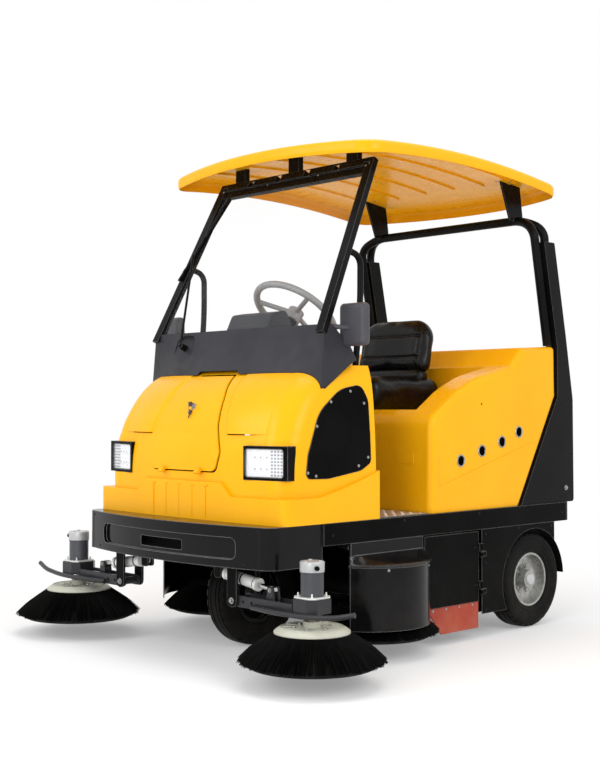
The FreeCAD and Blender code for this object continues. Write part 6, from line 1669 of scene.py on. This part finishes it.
    def stop_switch(self) -> None:
        """Set the red switch beside the seat."""
        form = Form()
        low, high = self.stop_base
        form.soft_bar(mm(*self.stop, low), mm(*self.stop, high), self.stop_base_radius, self.stop_base_rim,
                      segments=32)
        low, high = self.stop_top
        form.soft_bar(mm(*self.stop, low), mm(*self.stop, high), self.stop_stem, self.dome_rim, self.stop_crown,
                      32, 3)
        form.finish("stop_switch", RED_PLASTIC, "chassis", "red_rubber")

    def build(self) -> None:
        """Build the cab's small pieces."""
        self.wiper()
        self.mirrors()
        self.dash()
        self.wheel_cap()
        self.stop_switch()


@dataclass(frozen=True)
class Seam:
    """A sewn channel along one line of a pad's own frame."""

    axis: int
    at: float
    depth: float = 0.007
    width: float = 0.006
    within: tuple[int, float] | None = None


@dataclass
class Pad:
    """An upholstered pad: a soft block that is blown up, then drawn in along its seams."""

    name: str
    node: str
    low: Vector
    high: Vector
    place: Matrix
    face: Vector
    seams: tuple[Seam, ...]
    along: int
    hollow: float
    hollow_half: float
    hollow_power: int = 4
    fade: float = 0.2
    shoulder: float = 0.0
    shoulder_band: float = 0.05
    shoulder_across: float = 0.02
    start_inset: float = 0.008
    corner: float = 0.040
    voxel: float = 0.006
    pressure: float = 4.0
    cap: float = 0.016
    frames: int = 20
    relax: int = 36
    relax_share: float = 0.5
    arch: float = 0.0
    arch_power: float = 2.2

    def base(self) -> bpy.types.Object:
        """Make the slightly smaller soft block and remesh it evenly.

        Returns:
            The block.
        """
        form = Form()
        inset = Vector((self.start_inset,) * 3)
        form.block(self.low + inset, self.high - inset)
        if self.shoulder:
            upper = [edge for edge in form.mesh.edges
                     if abs(edge.verts[0].co.y - edge.verts[1].co.y) > self.shoulder_across
                     and min(vert.co.z for vert in edge.verts) > self.high.z - self.shoulder_band]
            form.bevel(upper, self.shoulder, 8)
        form.soften(form.mesh.verts[:], self.corner, 5)
        bmesh.ops.transform(form.mesh, matrix=self.place, verts=form.mesh.verts[:])
        rough = as_object(self.name + "_block", form.mesh, VINYL.build())
        remesh = rough.modifiers.new("even", "REMESH")
        remesh.mode = "VOXEL"
        remesh.voxel_size = self.voxel
        return self.applied(rough, self.name)

    @staticmethod
    def applied(rough: bpy.types.Object, name: str) -> bpy.types.Object:
        """Apply an object's modifiers.

        Args:
            rough: the object, which is dropped.
            name: the new object's name.

        Returns:
            A new object that holds the shape.
        """
        graph = bpy.context.evaluated_depsgraph_get()
        graph.update()
        mesh = bpy.data.meshes.new_from_object(rough.evaluated_get(graph))
        bpy.data.objects.remove(rough)
        made = bpy.data.objects.new(name, mesh)
        bpy.context.scene.collection.objects.link(made)
        return made

    def inflate(self, piece: bpy.types.Object) -> None:
        """Blow the pad up as cloth under pressure, and cap how far each point moves.

        Args:
            piece: the pad.
        """
        rest = [vert.co.copy() for vert in piece.data.vertices]
        cloth = piece.modifiers.new("filling", "CLOTH")
        cloth.settings.use_pressure = True
        cloth.settings.uniform_pressure_force = self.pressure
        cloth.settings.effector_weights.gravity = 0.0
        scene = bpy.context.scene
        for number in range(1, self.frames + 1):
            scene.frame_set(number)
        blown = piece.evaluated_get(bpy.context.evaluated_depsgraph_get()).data
        moved = [vert.co.copy() for vert in blown.vertices]
        piece.modifiers.remove(cloth)
        scene.frame_set(1)
        for vert, before, after in zip(piece.data.vertices, rest, moved):
            step = after - before
            if step.length > self.cap:
                step *= self.cap / step.length
            vert.co = before + step
        skin = bmesh.new()
        skin.from_mesh(piece.data)
        for _ in range(self.relax):
            bmesh.ops.smooth_vert(skin, verts=skin.verts[:], factor=self.relax_share, use_axis_x=True,
                                  use_axis_y=True, use_axis_z=True)
        skin.to_mesh(piece.data)
        skin.free()

    def sink(self, spot: Vector) -> float:
        """Tell how deep the seams and the hollow draw one point in.

        Args:
            spot: the point in the pad's own frame.

        Returns:
            The depth in metres.
        """
        depth = 0.0
        for seam in self.seams:
            if seam.within is not None and abs(spot[seam.within[0]]) > seam.within[1]:
                continue
            depth += seam.depth * math.exp(-((spot[seam.axis] - seam.at) / seam.width) ** 2)
        if abs(spot.x) < self.hollow_half:
            depth += self.hollow * (1.0 - (spot.x / self.hollow_half) ** self.hollow_power)
        return depth

    def sew(self, piece: bpy.types.Object) -> None:
        """Draw the seams in, sink the middle of the front face and keep the pad in its space.

        Args:
            piece: the pad.
        """
        back = self.place.inverted()
        normals = [vert.normal.copy() for vert in piece.data.vertices]
        for vert, normal in zip(piece.data.vertices, normals):
            spot = back @ vert.co
            faced = max((back.to_3x3() @ normal).dot(self.face), 0.0)
            share = (spot[self.along] - self.low[self.along]) / (self.high[self.along] - self.low[self.along])
            faced *= min(max(min(share, 1.0 - share) / self.fade, 0.0), 1.0)
            side = min(abs(spot.x) / self.high.x, 1.0)
            spot[self.along] -= self.arch * max(share, 0.0) * side ** self.arch_power
            spot -= self.face * self.sink(spot) * faced
            for axis in range(3):
                spot[axis] = min(max(spot[axis], self.low[axis]), self.high[axis])
            vert.co = self.place @ spot

    def build(self) -> None:
        """Build the pad and let it stand for its CAD solid."""
        piece = self.base()
        self.inflate(piece)
        smooth = piece.modifiers.new("smooth", "SUBSURF")
        smooth.levels = smooth.render_levels = 1
        piece = self.applied(piece, self.name)
        self.sew(piece)
        piece.data.materials.clear()
        piece.data.materials.append(VINYL.build())
        piece.data.shade_smooth()
        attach(piece, "chassis")
        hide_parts(self.node)
        LOG.info("%s: %d faces", self.name, len(piece.data.polygons))


@dataclass
class Seat:
    """Cushion and backrest with side bolsters, and the roll in the fold between them."""

    cushion_low: Point = (-225.0, 70.0, 915.3)
    cushion_high: Point = (225.0, 530.0, 1055.0)
    cushion_half: float = 0.150
    cushion_seams: tuple[float, ...] = (0.190, 0.300, 0.400)
    cushion_hollow: float = 0.014
    lean: float = math.radians(-12.0)
    back_foot: Point = (0.0, 470.0, 1055.3)
    back_low: Point = (-215.0, -90.0, 0.0)
    back_high: Point = (215.0, 0.0, 270.0)
    back_half: float = 0.164
    back_seams: tuple[float, ...] = (0.072, 0.165)
    back_hollow: float = 0.016
    fold_low: Point = (-186.0, 392.0, 1008.0)
    fold_high: Point = (186.0, 466.0, 1092.0)
    fold_round: float = 0.034

    @staticmethod
    def seams(half: float, axis: int, cross: tuple[float, ...]) -> tuple[Seam, ...]:
        """Lay out a pad's seams: one beside each bolster, and some across between them.

        Args:
            half: how far the side seams are from the middle.
            axis: number of the axis that the cross seams are placed along.
            cross: their places.

        Returns:
            The seams.
        """
        return Seam(0, -half), Seam(0, half), *(Seam(axis, at, within=(0, half)) for at in cross)

    def build(self) -> None:
        """Build both pads and the roll."""
        Pad("seat_pad", "seat_cushion", mm(*self.cushion_low), mm(*self.cushion_high), Matrix(), UP,
            self.seams(self.cushion_half, 1, self.cushion_seams), along=1, hollow=self.cushion_hollow,
            hollow_half=self.cushion_half).build()
        place = Matrix.Translation(mm(*self.back_foot)) @ Matrix.Rotation(self.lean, 4, "X")
        Pad("back_pad", "seat_backrest", mm(*self.back_low), mm(*self.back_high), place, -REAR,
            self.seams(self.back_half, 2, self.back_seams), along=2, hollow=self.back_hollow,
            hollow_half=self.back_half, shoulder=0.085, corner=0.034, arch=0.040).build()
        fold = Form()
        fold.soft_block(mm(*self.fold_low), mm(*self.fold_high), self.fold_round, steps=6)
        fold.finish("seat_fold", VINYL, "chassis", "seat_vinyl")


def assemblies() -> list:
    """List everything that scene.py builds, in its order.

    Returns:
        The assemblies.
    """
    listed = [Fasteners(), Wheels(), BrushGear(), Roller(), Lamps(), ShellTrim(), FloorPlate(), CabTrim(), Seat()]
    for side, sign in SIDES:
        (front_x, front_y), (mid_x, mid_y) = FRONT_BRUSH, MID_BRUSH
        listed.append(DiscBrush(f"front_tufts_{side}", f"front_bristles_{side}", f"front_brush_{side}",
                                mm(sign * front_x, front_y, 0.0)))
        listed.append(DiscBrush(f"mid_tufts_{side}", f"mid_brush_{side}", f"mid_brush_body_{side}",
                                mm(sign * mid_x, mid_y, 0.0), with_disc=True))
    return listed


def dress_nodes() -> None:
    """Give every CAD node its finish."""
    for finish, nodes in NODE_FINISH.items():
        material = finish.build()
        for node in nodes:
            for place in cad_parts[node].material_slots:
                place.material = material
            LOG.info("%s: %s", node, finish.name)


def main() -> None:
    """Build the scene piece by piece."""
    logging.basicConfig(level=logging.INFO, format="%(message)s")
    Studio().build()
    dress_nodes()
    for assembly in assemblies():
        assembly.build()
        LOG.info("%s: built", type(assembly).__name__)


if __name__ == "__main__":
    main()
